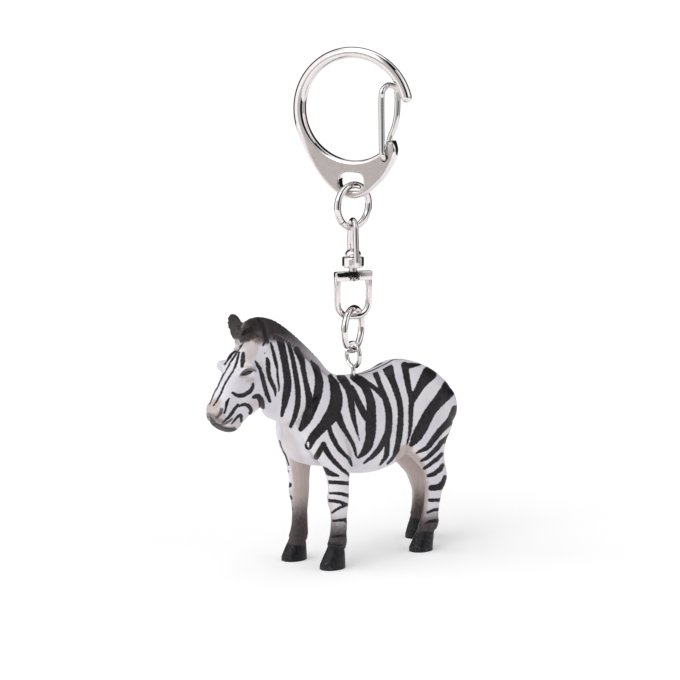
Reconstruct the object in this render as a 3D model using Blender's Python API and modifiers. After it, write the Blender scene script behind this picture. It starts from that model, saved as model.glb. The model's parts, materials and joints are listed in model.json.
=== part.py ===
"""Zebra key ring: a cast spring hook, a short swivel chain and a moulded zebra figure.

Metres, +Z up. The origin is the hang point, the inside of the hook ring's top, and the chain hangs
straight below it. The zebra faces -X, its left side faces -Y, and its soles are level.
"""
import math

import bmesh
import bpy
from mathutils import Matrix, Vector

# Fits
GAP = 0.0003             # between two pieces that touch
OVERRUN = 0.002          # how far a cutter runs past what it cuts

# Hook, cast in one piece: an open ring that widens into a flat plate
RING_INNER_RADIUS = 0.0124   # at the plate
RING_WIRE = 0.0033       # the round section where the ring meets the plate
NOSE_WIRE = 0.0028       # the round section from the top to the open end
PLATE_THICKNESS = 0.0032
PLATE_DROP = 0.00615     # how far the plate's tip hangs below the ring's outer circle
PLATE_EDGE = 0.0010      # radius of the plate's rounded edges
HOLE_WIDTH = 0.0064
HOLE_HEIGHT = 0.0047
HOLE_CHAMFER = 0.0005
LIP = 0.0019             # metal left below the hole, where the chain hangs
LIP_PLAY = 0.0005        # room for the upper ring to rock on the lip
NOSE_ANGLE = 16
PLATE_ANGLE = 196
PLATE_BLEND = 40         # degrees over which the round ring flattens into the plate
EAR_ANGLE = 326
CLASP_TURN = -58         # the ring plane's direction, from +X
HOLE_CORNER_SHARE = 0.42     # the hole's corner radius against its height
ROUNDING_SHARE = 0.499   # the most of a side that one corner may round

# Gate, a bent spring wire that straddles the plate
GATE_WIRE = 0.00145
GATE_PLAY = 0.00084      # between the closed gate's bend and the nose
GATE_PEG = 0.0011        # how deep each end sits in the plate
PIVOT_ANGLE = 307.5
PIVOT_INSET = 0.0018     # pivot to the ring's inner circle

# Jump rings, bent from wire and closed with a butt joint
LINK_WIRE = 0.00175
LINK_HEIGHT = 0.0123     # outside
LINK_SPLIT = 0.00025     # the gap between the wire's ends
UPPER_LINK_TURN = 5
LOWER_LINK_TURN = 28
LINK_SPLIT_ANGLE = 222

# Swivel: an eye with a round disc, a rivet through it and a shackle below
EYE_WIRE = 0.0014
EYE_HEIGHT = 0.0125      # top of the eye to the underside of its disc
EYE_THROAT = 0.0032      # inside width at the top of the eye
DISC_DIAMETER = 0.0055
DISC_HEIGHT = 0.0026
DISC_EDGE = 0.0005
RIVET_SHANK = 0.0019
RIVET_HEAD = 0.0040
RIVET_HEAD_HEIGHT = 0.0017
RIVET_TAIL = 0.0030
RIVET_TAIL_HEIGHT = 0.0006   # the peened end, let into the bar
SWIVEL_PLAY = 0.00105    # between the disc and the shackle's bar
SHACKLE_WIDTH = 0.0099   # outside
SHACKLE_HEIGHT = 0.01225
SHACKLE_WIRE = 0.00165
BAR_HEIGHT = 0.0024
BAR_WIDTH = 0.0097
BAR_DEPTH = 0.0026
BAR_EDGE = 0.0004
SHACKLE_CORNER = 0.0033
SWIVEL_EYE_TURN = 68
SHACKLE_TURN = -20

# Screw eye in the figure's back
SCREW_EYE_WIRE = 0.0012
SCREW_EYE_WIDTH = 0.0064     # outside
SCREW_EYE_HEIGHT = 0.0073    # top of the loop to the underside of its neck
SCREW_EYE_NECK = 0.0012      # neck to the figure's back
SCREW_SHANK = 0.0090         # threaded length inside the back
SCREW_EYE_TURN = -90

# Zebra, one soft plastic moulding
BACK_HEIGHT = 0.0469     # soles to the back at the screw eye
BODY_LENGTH = 0.0532     # chest to rump
CHEST_AHEAD = 0.0224     # chest ahead of the screw eye
BODY_HALF_WIDTH = 0.0087
NECK_REACH = 0.0307      # withers to forehead, level
NECK_RISE = 0.0148       # withers to poll, upright
WITHERS_BEHIND = 0.0184  # withers behind the chest
HEAD_LENGTH = 0.0239     # poll to muzzle
HEAD_DEPTH = 0.0134
HEAD_HALF_WIDTH = 0.0048
HEAD_PITCH = 49
HEAD_YAW = 14
EAR_HEIGHT = 0.0076
EAR_WIDTH = 0.0043
BROW_RADIUS = 0.0016
LEG_WIDTH = 0.0044       # a foreleg's cannon, front to back
MANE_WIDTH = 0.0024
MANE_HEIGHT = 0.0034
TAIL_WIDTH = 0.0022
GRAIN = 0.00065          # cell of the moulding's surface mesh
DETAIL_SHARE = 0.13      # faces kept of that mesh
SOLE_SINK = 0.0006       # each leg runs this far below the soles before it is cut level

# The plate's outer edge: angle, and how far it drops below the ring's outer circle
PLATE_EDGE_SHARES = [
    (196, 0.00), (209, 0.00), (221, 0.07), (232, 0.22), (242, 0.43), (252, 0.68), (262, 0.92),
    (271, 1.00), (280, 0.87), (289, 0.62), (298, 0.42), (306, 0.22), (314, 0.05), (319, -0.08),
    (322, -0.18), (324.5, -0.32), (326, -0.46),
]
# The ear at the plate's end: angle, and how far the inner edge stands inside the ring
EAR_INNER_SHARES = [(300, 0.0), (312, 0.01), (318, 0.05), (322, 0.055), (324.5, 0.02), (326, -0.035)]

# The gate's front and back legs: across, as shares of the reach left, and up, as shares of the reach
GATE_FRONT_SHARES = [(0.000, 0.055), (-0.012, 0.13), (-0.017, 0.45), (-0.020, 0.80), (-0.008, 0.93)]
GATE_TOP_SHARES = [(0.015, 0.985, -0.45), (0.035, 1.0, 0.0), (0.075, 0.98, 0.50)]
GATE_BACK_SHARES = [
    (0.105, 0.92), (0.110, 0.65), (0.075, 0.43), (0.012, 0.27), (-0.012, 0.15), (0.0, 0.055),
]
GATE_HEEL_SHARE = 0.3        # where the bend from peg to leg starts, against the wire's radius

# Torso: along from the chest, top, bottom, half width
TORSO_SHARES = [
    (0.008, 0.790, 0.690, 0.15), (0.030, 0.860, 0.627, 0.34), (0.075, 0.942, 0.580, 0.62),
    (0.139, 0.996, 0.550, 0.78), (0.233, 1.012, 0.525, 0.87), (0.327, 1.006, 0.487, 0.92),
    (0.421, 0.996, 0.459, 0.98), (0.515, 0.999, 0.454, 1.00), (0.609, 1.025, 0.473, 1.00),
    (0.684, 1.044, 0.512, 0.98), (0.769, 1.028, 0.554, 0.97), (0.853, 0.988, 0.597, 0.94),
    (0.915, 0.936, 0.622, 0.87), (0.959, 0.886, 0.646, 0.75), (0.985, 0.844, 0.674, 0.55),
    (1.000, 0.802, 0.716, 0.30),
]
# Neck: crest ahead and up from the withers, throat ahead and up, half width
NECK_SHARES = [
    (0.00, -0.05, 0.38, -1.18, 0.78), (0.14, 0.04, 0.47, -0.87, 0.72), (0.26, 0.22, 0.555, -0.70, 0.64),
    (0.39, 0.43, 0.635, -0.58, 0.56), (0.52, 0.66, 0.71, -0.49, 0.50), (0.67, 0.86, 0.775, -0.39, 0.47),
    (0.80, 0.97, 0.85, -0.21, 0.46), (0.91, 0.96, 0.94, 0.00, 0.43), (0.98, 0.80, 1.00, 0.17, 0.32),
]
# Forehead: ahead and up from the withers, and down the head from the poll
FOREHEAD_SHARES = (1.005, 0.70, 0.20)
# Head: along from the poll, nose line, jaw line, half width, roundness of the section
HEAD_SHARES = [
    (0.00, 0.00, 0.66, 0.66, 0.9), (0.10, -0.04, 0.88, 0.82, 0.85), (0.20, -0.03, 1.02, 0.93, 0.75),
    (0.30, -0.01, 1.08, 1.00, 0.68), (0.40, 0.00, 1.07, 1.00, 0.66), (0.50, 0.01, 1.05, 0.88, 0.70),
    (0.61, 0.02, 0.98, 0.72, 0.75), (0.71, 0.03, 0.86, 0.62, 0.75), (0.80, 0.03, 0.80, 0.60, 0.8),
    (0.88, 0.01, 0.80, 0.64, 0.85), (0.945, 0.04, 0.73, 0.60, 0.9), (0.985, 0.13, 0.60, 0.47, 0.95),
    (1.00, 0.23, 0.50, 0.31, 1.0),
]
# Brow ridges over the eyes: down the head, in from the nose line, out
BROW_SHARES = (0.38, 0.12, 0.86)
# Legs: up, along from the chest, across, half length and half width in leg widths
FORELEG_SHARES = [
    (0.02, 0.203, 0.75, 0.80, 0.62), (0.077, 0.216, 0.75, 0.62, 0.54), (0.098, 0.222, 0.75, 0.56, 0.48),
    (0.141, 0.233, 0.75, 0.57, 0.49), (0.183, 0.237, 0.75, 0.49, 0.44), (0.256, 0.240, 0.75, 0.465, 0.43),
    (0.316, 0.240, 0.75, 0.52, 0.50), (0.375, 0.237, 0.75, 0.625, 0.57), (0.426, 0.239, 0.75, 0.61, 0.55),
    (0.490, 0.235, 0.75, 0.68, 0.60), (0.565, 0.222, 0.74, 0.89, 0.73), (0.640, 0.195, 0.67, 1.18, 0.76),
    (0.746, 0.170, 0.59, 1.42, 0.70), (0.853, 0.162, 0.54, 1.15, 0.60), (0.938, 0.168, 0.47, 0.80, 0.45),
]
HINDLEG_SHARES = [
    (0.02, 0.745, 0.71, 0.75, 0.61), (0.073, 0.762, 0.71, 0.625, 0.535), (0.094, 0.770, 0.71, 0.57, 0.49),
    (0.141, 0.791, 0.71, 0.59, 0.50), (0.192, 0.801, 0.71, 0.50, 0.455), (0.267, 0.814, 0.71, 0.48, 0.445),
    (0.330, 0.825, 0.71, 0.545, 0.49), (0.390, 0.840, 0.71, 0.67, 0.52), (0.448, 0.821, 0.70, 0.80, 0.59),
    (0.512, 0.790, 0.69, 1.08, 0.68), (0.586, 0.763, 0.65, 1.62, 0.77), (0.672, 0.760, 0.60, 2.22, 0.88),
    (0.768, 0.757, 0.56, 2.28, 0.90), (0.874, 0.765, 0.50, 1.85, 0.80), (0.960, 0.769, 0.42, 1.12, 0.55),
]
# How far a leg stands forward of (less than 0) or behind its table, by height up the leg
SQUARE_SHARES = [(0, 0), (1, 0)]
FAR_FORE_SHARES = [(0, -0.042), (0.48, -0.045), (0.8, 0)]
FAR_HIND_SHARES = [
    (0, 0.157), (0.14, 0.130), (0.27, 0.105), (0.35, 0.070), (0.39, 0.038), (0.45, 0.012), (0.8, 0),
]
# Each leg: table, side, stance, how far its foot is drawn in
LEGS = {
    "near_fore": (FORELEG_SHARES, -1, SQUARE_SHARES, 0.00),
    "far_fore": (FORELEG_SHARES, 1, FAR_FORE_SHARES, 0.02),
    "near_hind": (HINDLEG_SHARES, -1, SQUARE_SHARES, 0.00),
    "far_hind": (HINDLEG_SHARES, 1, FAR_HIND_SHARES, 0.10),
}
DRAW_IN_SHARE = 0.6          # how far up the leg the drawing in starts
HOOF_SPREAD_SHARE = 1.06     # the sole against the hoof's wall above it
# Ears: side, foot down the head, foot in from the nose line, foot out; lean ahead and out
EAR_SHARES = {"near": (-1, 0.08, 0.20, 0.72, 0.06, 0.06), "far": (1, 0.11, 0.09, 0.46, 0.19, 0.17)}
# Ear: up, width, thickness
EAR_OUTLINE_SHARES = [
    (0.0, 0.66, 0.60), (0.2, 0.93, 0.62), (0.45, 1.02, 0.56), (0.7, 0.97, 0.48), (0.88, 0.75, 0.38),
    (1.0, 0.34, 0.24),
]
# Mane's middle line: ahead and up from the withers, height in mane heights
MANE_SHARES = [
    (0.03, -0.06, 0.55), (0.16, 0.06, 0.80), (0.30, 0.34, 0.95), (0.50, 0.71, 1.00), (0.68, 0.97, 1.10),
    (0.82, 1.06, 1.20), (0.92, 1.03, 1.25), (0.98, 0.87, 1.10), (1.00, 0.66, 0.70),
]
# Tail: along from the chest, up, across, width in tail widths
TAIL_SHARES = [
    (0.925, 0.905, 0.00, 0.55), (0.972, 0.865, 0.00, 0.50), (0.998, 0.800, 0.00, 0.47),
    (1.000, 0.725, 0.00, 0.45), (0.972, 0.650, 0.03, 0.46), (0.948, 0.570, 0.10, 0.52),
    (0.932, 0.490, 0.15, 0.52), (0.926, 0.415, 0.18, 0.46), (0.924, 0.355, 0.19, 0.18),
]

# Places down the chain, each worked out from the piece above it
RING_OUTER_RADIUS = RING_INNER_RADIUS + RING_WIRE
RING_CENTRE_Z = NOSE_WIRE - RING_OUTER_RADIUS
PLATE_TIP_Z = RING_CENTRE_Z - RING_OUTER_RADIUS - PLATE_DROP
HOLE_BOTTOM_Z = PLATE_TIP_Z + LIP
UPPER_LINK_TOP_Z = HOLE_BOTTOM_Z + LIP_PLAY + LINK_WIRE / 2
LINK_MIDDLE_RADIUS = (LINK_HEIGHT - LINK_WIRE) / 2
UPPER_LINK_BOTTOM_Z = UPPER_LINK_TOP_Z - 2 * LINK_MIDDLE_RADIUS
SWIVEL_EYE_TOP_Z = UPPER_LINK_BOTTOM_Z + LINK_WIRE / 2 + GAP + EYE_WIRE / 2
DISC_BOTTOM_Z = SWIVEL_EYE_TOP_Z + EYE_WIRE / 2 - EYE_HEIGHT
BAR_TOP_Z = DISC_BOTTOM_Z - SWIVEL_PLAY
SHACKLE_BOTTOM_Z = BAR_TOP_Z - SHACKLE_HEIGHT + SHACKLE_WIRE / 2
LOWER_LINK_TOP_Z = SHACKLE_BOTTOM_Z + SHACKLE_WIRE / 2 + GAP + LINK_WIRE / 2
LOWER_LINK_BOTTOM_Z = LOWER_LINK_TOP_Z - 2 * LINK_MIDDLE_RADIUS
SCREW_EYE_TOP_Z = LOWER_LINK_BOTTOM_Z + LINK_WIRE / 2 + GAP + SCREW_EYE_WIRE / 2
BACK_Z = SCREW_EYE_TOP_Z + SCREW_EYE_WIRE / 2 - SCREW_EYE_HEIGHT - SCREW_EYE_NECK
SOLE_Z = BACK_Z - BACK_HEIGHT
PIVOT_RADIUS = RING_INNER_RADIUS + PIVOT_INSET
GATE_TOP_RADIUS = RING_OUTER_RADIUS - NOSE_WIRE - GATE_PLAY - GATE_WIRE / 2


def gate_reach():
    """How far the gate reaches from its pivot, so that its bend closes just inside the nose."""
    turn = math.radians(PIVOT_ANGLE)
    start = Vector((PIVOT_RADIUS * math.cos(turn), PIVOT_RADIUS * math.sin(turn)))
    top = Vector(GATE_TOP_SHARES[1][:2])
    run = start.dot(top)
    room = run * run - top.dot(top) * (start.dot(start) - GATE_TOP_RADIUS ** 2)
    return (math.sqrt(room) - run) / top.dot(top)


GATE_REACH = gate_reach()


def clear_scene():
    for thing in list(bpy.data.objects):
        bpy.data.objects.remove(thing, do_unlink=True)


def new_collection(name):
    collection = bpy.data.collections.new(name)
    bpy.context.scene.collection.children.link(collection)
    return collection


def material(name, colour, roughness, metallic):
    """A Principled finish."""
    finish = bpy.data.materials.new(name)
    finish.use_nodes = True
    shader = finish.node_tree.nodes["Principled BSDF"]
    shader.inputs["Base Color"].default_value = (*colour, 1)
    shader.inputs["Roughness"].default_value = roughness
    shader.inputs["Metallic"].default_value = metallic
    return finish


def pivot(name, place, turn, parent=None):
    """An empty on a joint's axis, turned about the vertical."""
    empty = bpy.data.objects.new(name, None)
    empty.location = place
    empty.rotation_euler = (0, 0, math.radians(turn))
    empty.parent = parent
    PARTS.objects.link(empty)
    return empty


def hang(thing, parent, place=(0, 0, 0)):
    thing.parent = parent
    thing.location = place


def mesh_object(name, bm, collection):
    mesh = bpy.data.meshes.new(name)
    bm.to_mesh(mesh)
    bm.free()
    thing = bpy.data.objects.new(name, mesh)
    collection.objects.link(thing)
    return thing


def loft_faces(bm, rings):
    """Skin a row of closed rings of points and cap both ends."""
    rows = [[bm.verts.new(point) for point in ring] for ring in rings]
    faces = [bm.faces.new(rows[0]), bm.faces.new(rows[-1])]
    for low, high in zip(rows, rows[1:]):
        for i, vert in enumerate(low):
            j = (i + 1) % len(low)
            faces.append(bm.faces.new((vert, low[j], high[j], high[i])))
    bmesh.ops.recalc_face_normals(bm, faces=faces)


def loft(name, rings, collection):
    bm = bmesh.new()
    loft_faces(bm, rings)
    return mesh_object(name, bm, collection)


def box(name, size, centre, collection):
    """A box with its scale in its mesh."""
    bm = bmesh.new()
    bmesh.ops.create_cube(bm, size=1)
    bmesh.ops.scale(bm, vec=size, verts=bm.verts)
    bmesh.ops.translate(bm, vec=centre, verts=bm.verts)
    return mesh_object(name, bm, collection)


def rod(name, diameter, length, collection, along=(0, 0, 1), sides=20):
    """A plain round rod about its own middle."""
    bm = bmesh.new()
    radius = diameter / 2
    bmesh.ops.create_cone(bm, cap_ends=True, segments=sides, radius1=radius, radius2=radius, depth=length)
    turn = Vector((0, 0, 1)).rotation_difference(Vector(along)).to_matrix()
    bmesh.ops.rotate(bm, cent=(0, 0, 0), matrix=turn, verts=bm.verts)
    return mesh_object(name, bm, collection)


def wire(name, points, width, collection):
    """Bent wire: a curve through the points with a round section and closed ends."""
    curve = bpy.data.curves.new(name, "CURVE")
    curve.dimensions = "3D"
    curve.bevel_depth = width / 2
    curve.bevel_resolution = 2
    curve.use_fill_caps = True
    spline = curve.splines.new("POLY")
    spline.points.add(len(points) - 1)
    for spot, point in zip(spline.points, points):
        spot.co = (*point, 1)
    spline.use_smooth = True
    thing = bpy.data.objects.new(name, curve)
    collection.objects.link(thing)
    return thing


def wire_mesh(name, points, width, collection):
    """Bent wire as a closed mesh, for the pieces that are cut or joined."""
    bent = wire(name + "_guide", points, width, collection)
    graph = bpy.context.evaluated_depsgraph_get()
    mesh = bpy.data.meshes.new_from_object(bent.evaluated_get(graph))
    bm = bmesh.new()
    bm.from_mesh(mesh)
    bmesh.ops.remove_doubles(bm, verts=bm.verts, dist=GAP / 100)
    bm.to_mesh(mesh)
    bm.free()
    thing = bpy.data.objects.new(name, mesh)
    thing.matrix_world = bent.matrix_world
    collection.objects.link(thing)
    bpy.data.objects.remove(bent, do_unlink=True)
    return thing


def turned(name, profile, collection, steps=24):
    """A turned solid: radius and height down the outer side, spun about the upright axis."""
    bm = bmesh.new()
    verts = [bm.verts.new((radius, 0, height)) for radius, height in profile]
    for first, second in zip(verts, verts[1:]):
        bm.edges.new((first, second))
    thing = mesh_object(name, bm, collection)
    screw = thing.modifiers.new("turn", "SCREW")
    screw.steps = steps
    screw.render_steps = steps
    screw.use_merge_vertices = True
    screw.merge_threshold = GAP / 100
    return thing


def combine(thing, other, operation):
    boolean = thing.modifiers.new(operation.lower(), "BOOLEAN")
    boolean.operation = operation
    boolean.object = other
    other.hide_render = True
    other.display_type = "WIRE"


def smooth_path(points, steps):
    """Points on a smooth curve through the given points."""
    ends = [points[0] * 2 - points[1], *points, points[-1] * 2 - points[-2]]
    path = []
    for a, b, c, d in zip(ends, ends[1:], ends[2:], ends[3:]):
        for step in range(steps):
            t = step / steps
            path.append(b + (c - a) * (t / 2) + (a * 2 - b * 5 + c * 4 - d) * (t * t / 2)
                        + (b * 3 - a - c * 3 + d) * (t ** 3 / 2))
    path.append(points[-1])
    return path


def follow(table, where):
    """Read a table of (place, value) at a place between its rows."""
    if where <= table[0][0]:
        return table[0][1]
    for (low, low_value), (high, high_value) in zip(table, table[1:]):
        if where <= high:
            share = (where - low) / (high - low)
            return low_value + (high_value - low_value) * share
    return table[-1][1]


def rounded_section(width, height, radius, steps=3):
    """A rectangle with round corners, as (across, up) points."""
    points = []
    for corner in range(4):
        side = 1 if corner in (0, 3) else -1
        rise = 1 if corner in (0, 1) else -1
        for step in range(steps + 1):
            angle = math.radians(90 * corner + 90 * step / steps)
            points.append((side * (width / 2 - radius) + radius * math.cos(angle),
                           rise * (height / 2 - radius) + radius * math.sin(angle)))
    return points


def hook_edges(angle):
    """Inner radius, outer radius, thickness and corner radius of the hook at an angle of its ring."""
    if angle <= PLATE_ANGLE:
        growth = max(0, (angle - 90) / (PLATE_ANGLE - 90))
        width = NOSE_WIRE + (RING_WIRE - NOSE_WIRE) * growth
        return RING_OUTER_RADIUS - width, RING_OUTER_RADIUS, width, width / 2
    inner = RING_INNER_RADIUS * (1 - follow(EAR_INNER_SHARES, angle))
    outer = RING_OUTER_RADIUS + PLATE_DROP * follow(PLATE_EDGE_SHARES, angle)
    blend = min(1, (angle - PLATE_ANGLE) / PLATE_BLEND)
    thickness = RING_WIRE + (PLATE_THICKNESS - RING_WIRE) * blend
    corner = RING_WIRE / 2 + (PLATE_EDGE - RING_WIRE / 2) * blend
    return inner, outer, thickness, min(corner, ROUNDING_SHARE * (outer - inner), ROUNDING_SHARE * thickness)


def hook_ring(angle, shrink):
    """One cross section of the hook, shrunk a little at its ends."""
    inner, outer, thickness, corner = hook_edges(angle)
    middle = (inner + outer) / 2
    turn = math.radians(angle)
    ring = []
    for across, up in rounded_section((outer - inner) * shrink, thickness * shrink, corner * shrink):
        radius = middle + across
        ring.append((radius * math.cos(turn), up, RING_CENTRE_Z + radius * math.sin(turn)))
    return ring


def make_hook():
    """The cast hook: ring, plate and ear in one sweep, then the chain's hole and the gate's bore."""
    angles = [NOSE_ANGLE + 9 * i for i in range(20)] + [PLATE_ANGLE + 5 * i for i in range(1, 25)]
    angles += [319, 322, 324.5, EAR_ANGLE]
    rings = [hook_ring(NOSE_ANGLE - 1, 0.8)]
    rings += [hook_ring(angle, 1.0) for angle in angles]
    hook = loft("clasp_hook", rings, PARTS)
    hole_middle = HOLE_BOTTOM_Z + HOLE_HEIGHT / 2
    rows = []
    face = PLATE_THICKNESS / 2
    for depth, flare in ((-face - OVERRUN, OVERRUN + HOLE_CHAMFER), (-face + HOLE_CHAMFER, 0),
                         (face - HOLE_CHAMFER, 0), (face + OVERRUN, OVERRUN + HOLE_CHAMFER)):
        corner = HOLE_HEIGHT * HOLE_CORNER_SHARE + flare
        outline = rounded_section(HOLE_WIDTH + 2 * flare, HOLE_HEIGHT + 2 * flare, corner, 6)
        rows.append([(across, depth, hole_middle + up) for across, up in outline])
    combine(hook, loft("chain_hole", rows, CUTTERS), "DIFFERENCE")
    bore = rod("gate_bore", GATE_WIRE + 2 * GAP, PLATE_THICKNESS + 2 * OVERRUN, CUTTERS, along=(0, 1, 0))
    bore.location = pivot_place()
    combine(hook, bore, "DIFFERENCE")
    hang(hook, CLASP)
    for cutter in ("chain_hole", "gate_bore"):
        CUTTERS.objects[cutter].parent = CLASP
    hook.data.materials.append(NICKEL)
    return hook


def pivot_place():
    turn = math.radians(PIVOT_ANGLE)
    return Vector((PIVOT_RADIUS * math.cos(turn), 0, RING_CENTRE_Z + PIVOT_RADIUS * math.sin(turn)))


def make_gate():
    """The gate: two legs beside the plate, a bend under the nose and two pegs in the plate's bore."""
    side = PLATE_THICKNESS / 2 + GAP + GATE_WIRE / 2
    peg_end = PLATE_THICKNESS / 2 - GATE_PEG
    heel = GATE_WIRE / 2
    front = [Vector((x * GATE_REACH, -side, z * GATE_REACH)) for x, z in GATE_FRONT_SHARES]
    top = [Vector((x * GATE_REACH, y * side, z * GATE_REACH)) for x, z, y in GATE_TOP_SHARES]
    back = [Vector((x * GATE_REACH, side, z * GATE_REACH)) for x, z in GATE_BACK_SHARES]
    middle = smooth_path(front + top + back, 4)
    bend = heel * GATE_HEEL_SHARE
    start = [Vector((0, -peg_end, 0)), Vector((0, -side + heel, 0)), Vector((0, -side + bend, bend))]
    finish = [Vector((point.x, -point.y, point.z)) for point in reversed(start)]
    gate = wire("clasp_gate", start + middle + finish, GATE_WIRE, PARTS)
    hinge = pivot("gate_hinge", pivot_place(), 0, CLASP)
    hang(gate, hinge)
    gate.data.materials.append(STEEL)
    return gate


def make_link(name, top_z, turn):
    """A jump ring, hung from its top, with its wire's two ends a hair apart."""
    open_angle = math.degrees(LINK_SPLIT / LINK_MIDDLE_RADIUS)
    count = 32
    points = []
    for i in range(count + 1):
        angle = math.radians(LINK_SPLIT_ANGLE + open_angle / 2 + (360 - open_angle) * i / count)
        points.append(Vector((LINK_MIDDLE_RADIUS * math.cos(angle), 0,
                              LINK_MIDDLE_RADIUS * (math.sin(angle) - 1))))
    link = wire(name, points, LINK_WIRE, PARTS)
    hang(link, pivot(name + "_hanger", (0, 0, top_z), turn))
    link.data.materials.append(NICKEL)
    return link


def make_swivel_eye():
    """The swivel's eye: a cast loop whose legs straddle the rivet's head and end on a round disc."""
    radius = DISC_DIAMETER / 2
    top = SWIVEL_EYE_TOP_Z - UPPER_LINK_BOTTOM_Z
    low = DISC_BOTTOM_Z - UPPER_LINK_BOTTOM_Z
    bore = RIVET_SHANK / 2 + GAP
    disc_top = low + DISC_HEIGHT
    profile = [(bore, disc_top), (radius - DISC_EDGE, disc_top), (radius, disc_top - DISC_EDGE),
               (radius, low + DISC_EDGE), (radius - DISC_EDGE, low), (bore, low), (bore, disc_top)]
    eye = turned("swivel_eye", profile, PARTS)
    foot = max(RIVET_HEAD / 2 + GAP, radius - EYE_WIRE / 4) + EYE_WIRE / 2
    throat = (EYE_THROAT + EYE_WIRE) / 2
    arch = []
    for angle in range(0, 181, 20):
        turn = math.radians(angle)
        arch.append(Vector((throat * math.cos(turn), 0, top - throat + throat * math.sin(turn))))
    foot_z = low + EYE_WIRE / 4
    right = [Vector((foot, 0, foot_z)), Vector((foot, 0, disc_top)),
             Vector(((foot + throat) / 2, 0, (disc_top + top - throat) / 2))]
    left = [Vector((-point.x, 0, point.z)) for point in reversed(right)]
    loop = wire_mesh("eye_loop", right + arch + left, EYE_WIRE, CUTTERS)
    combine(eye, loop, "UNION")
    hanger = pivot("swivel_hanger", (0, 0, UPPER_LINK_BOTTOM_Z), SWIVEL_EYE_TURN)
    hang(eye, hanger)
    hang(loop, hanger)
    eye.data.materials.append(NICKEL)
    return eye


def make_rivet():
    """The swivel's rivet: a domed head on the disc, a shank through disc and bar, a peened tail."""
    shank = RIVET_SHANK / 2
    head = RIVET_HEAD / 2
    seat = DISC_BOTTOM_Z + DISC_HEIGHT + GAP - BAR_TOP_Z
    crown = seat + RIVET_HEAD_HEIGHT
    tail_top = RIVET_TAIL_HEIGHT - BAR_HEIGHT
    edge = RIVET_HEAD_HEIGHT / 2
    profile = [(0, crown), (head / 2, crown - edge / 8)]
    for angle in (20, 45, 70, 90):
        turn = math.radians(angle)
        profile.append((head - edge + edge * math.sin(turn), crown - edge / 4 - edge * (1 - math.cos(turn))))
    profile += [(head, seat + edge / 4), (head - edge / 4, seat), (shank, seat), (shank, tail_top),
                (RIVET_TAIL / 2, tail_top), (RIVET_TAIL / 2, -BAR_HEIGHT), (0, -BAR_HEIGHT)]
    rivet = turned("swivel_rivet", profile, PARTS)
    hang(rivet, SWIVEL)
    rivet.data.materials.append(NICKEL)
    return rivet


def make_shackle():
    """The shackle: a square bar on top of a round U, bored for the rivet."""
    bar = box("swivel_shackle", (BAR_WIDTH, BAR_DEPTH, BAR_HEIGHT), (0, 0, -BAR_HEIGHT / 2), PARTS)
    bevel = bar.modifiers.new("edges", "BEVEL")
    bevel.width = BAR_EDGE
    bevel.segments = 2
    half = (SHACKLE_WIDTH - SHACKLE_WIRE) / 2
    bottom = SHACKLE_BOTTOM_Z - BAR_TOP_Z
    corner = SHACKLE_CORNER
    points = [Vector((half, 0, -BAR_HEIGHT / 2)), Vector((half, 0, bottom + corner * 1.5))]
    for angle in range(0, 91, 15):
        turn = math.radians(angle)
        points.append(Vector((half - corner + corner * math.cos(turn), 0,
                              bottom + corner - corner * math.sin(turn))))
    points += [Vector((-point.x, 0, point.z)) for point in reversed(points)]
    loop = wire_mesh("shackle_loop", points, SHACKLE_WIRE, CUTTERS)
    combine(bar, loop, "UNION")
    bore = rod("rivet_bore", RIVET_SHANK + 2 * GAP, BAR_HEIGHT + 2 * OVERRUN, CUTTERS)
    combine(bar, bore, "DIFFERENCE")
    recess_depth = RIVET_TAIL_HEIGHT + GAP
    recess = rod("rivet_recess", RIVET_TAIL + 2 * GAP, recess_depth + OVERRUN, CUTTERS)
    combine(bar, recess, "DIFFERENCE")
    hang(bar, SWIVEL)
    hang(loop, SWIVEL)
    hang(bore, SWIVEL, (0, 0, -BAR_HEIGHT / 2))
    hang(recess, SWIVEL, (0, 0, -BAR_HEIGHT + recess_depth - (recess_depth + OVERRUN) / 2))
    bar.data.materials.append(NICKEL)
    return bar


def make_screw_eye():
    """The screw eye: wire bent into a loop, its end cut short above the neck, on a straight shank."""
    top = SCREW_EYE_TOP_Z - LOWER_LINK_BOTTOM_Z
    half_height = (SCREW_EYE_HEIGHT - SCREW_EYE_WIRE) / 2
    half_width = (SCREW_EYE_WIDTH - SCREW_EYE_WIRE) / 2
    middle = top - half_height
    neck = middle - half_height
    points = []
    for angle in range(-48, 241, 12):
        turn = math.radians(angle)
        points.append(Vector((half_width * math.cos(turn), 0, middle + half_height * math.sin(turn))))
    neck_z = neck - SCREW_EYE_WIRE / 2 - SCREW_EYE_NECK
    points += [Vector((-SCREW_EYE_WIRE / 3, 0, neck + SCREW_EYE_WIRE / 8)),
               Vector((0, 0, neck - SCREW_EYE_WIRE / 2)),
               Vector((0, 0, neck_z)), Vector((0, 0, neck_z - SCREW_SHANK))]
    eye = wire("screw_eye", points, SCREW_EYE_WIRE, PARTS)
    hang(eye, pivot("screw_eye_hanger", (0, 0, LOWER_LINK_BOTTOM_Z), SCREW_EYE_TURN))
    eye.data.materials.append(STEEL)
    return eye


def oval(centre, across, up, sides, roundness=1.0):
    """A closed ring of points about a centre, along two directions: 1 is an ellipse, less is squarer."""
    ring = []
    for i in range(sides):
        angle = 2 * math.pi * i / sides
        c, s = math.cos(angle), math.sin(angle)
        ring.append(centre + across * (math.copysign(abs(c) ** roundness, c))
                    + up * (math.copysign(abs(s) ** roundness, s)))
    return ring


def body_x(share):
    return share * BODY_LENGTH - CHEST_AHEAD


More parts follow.
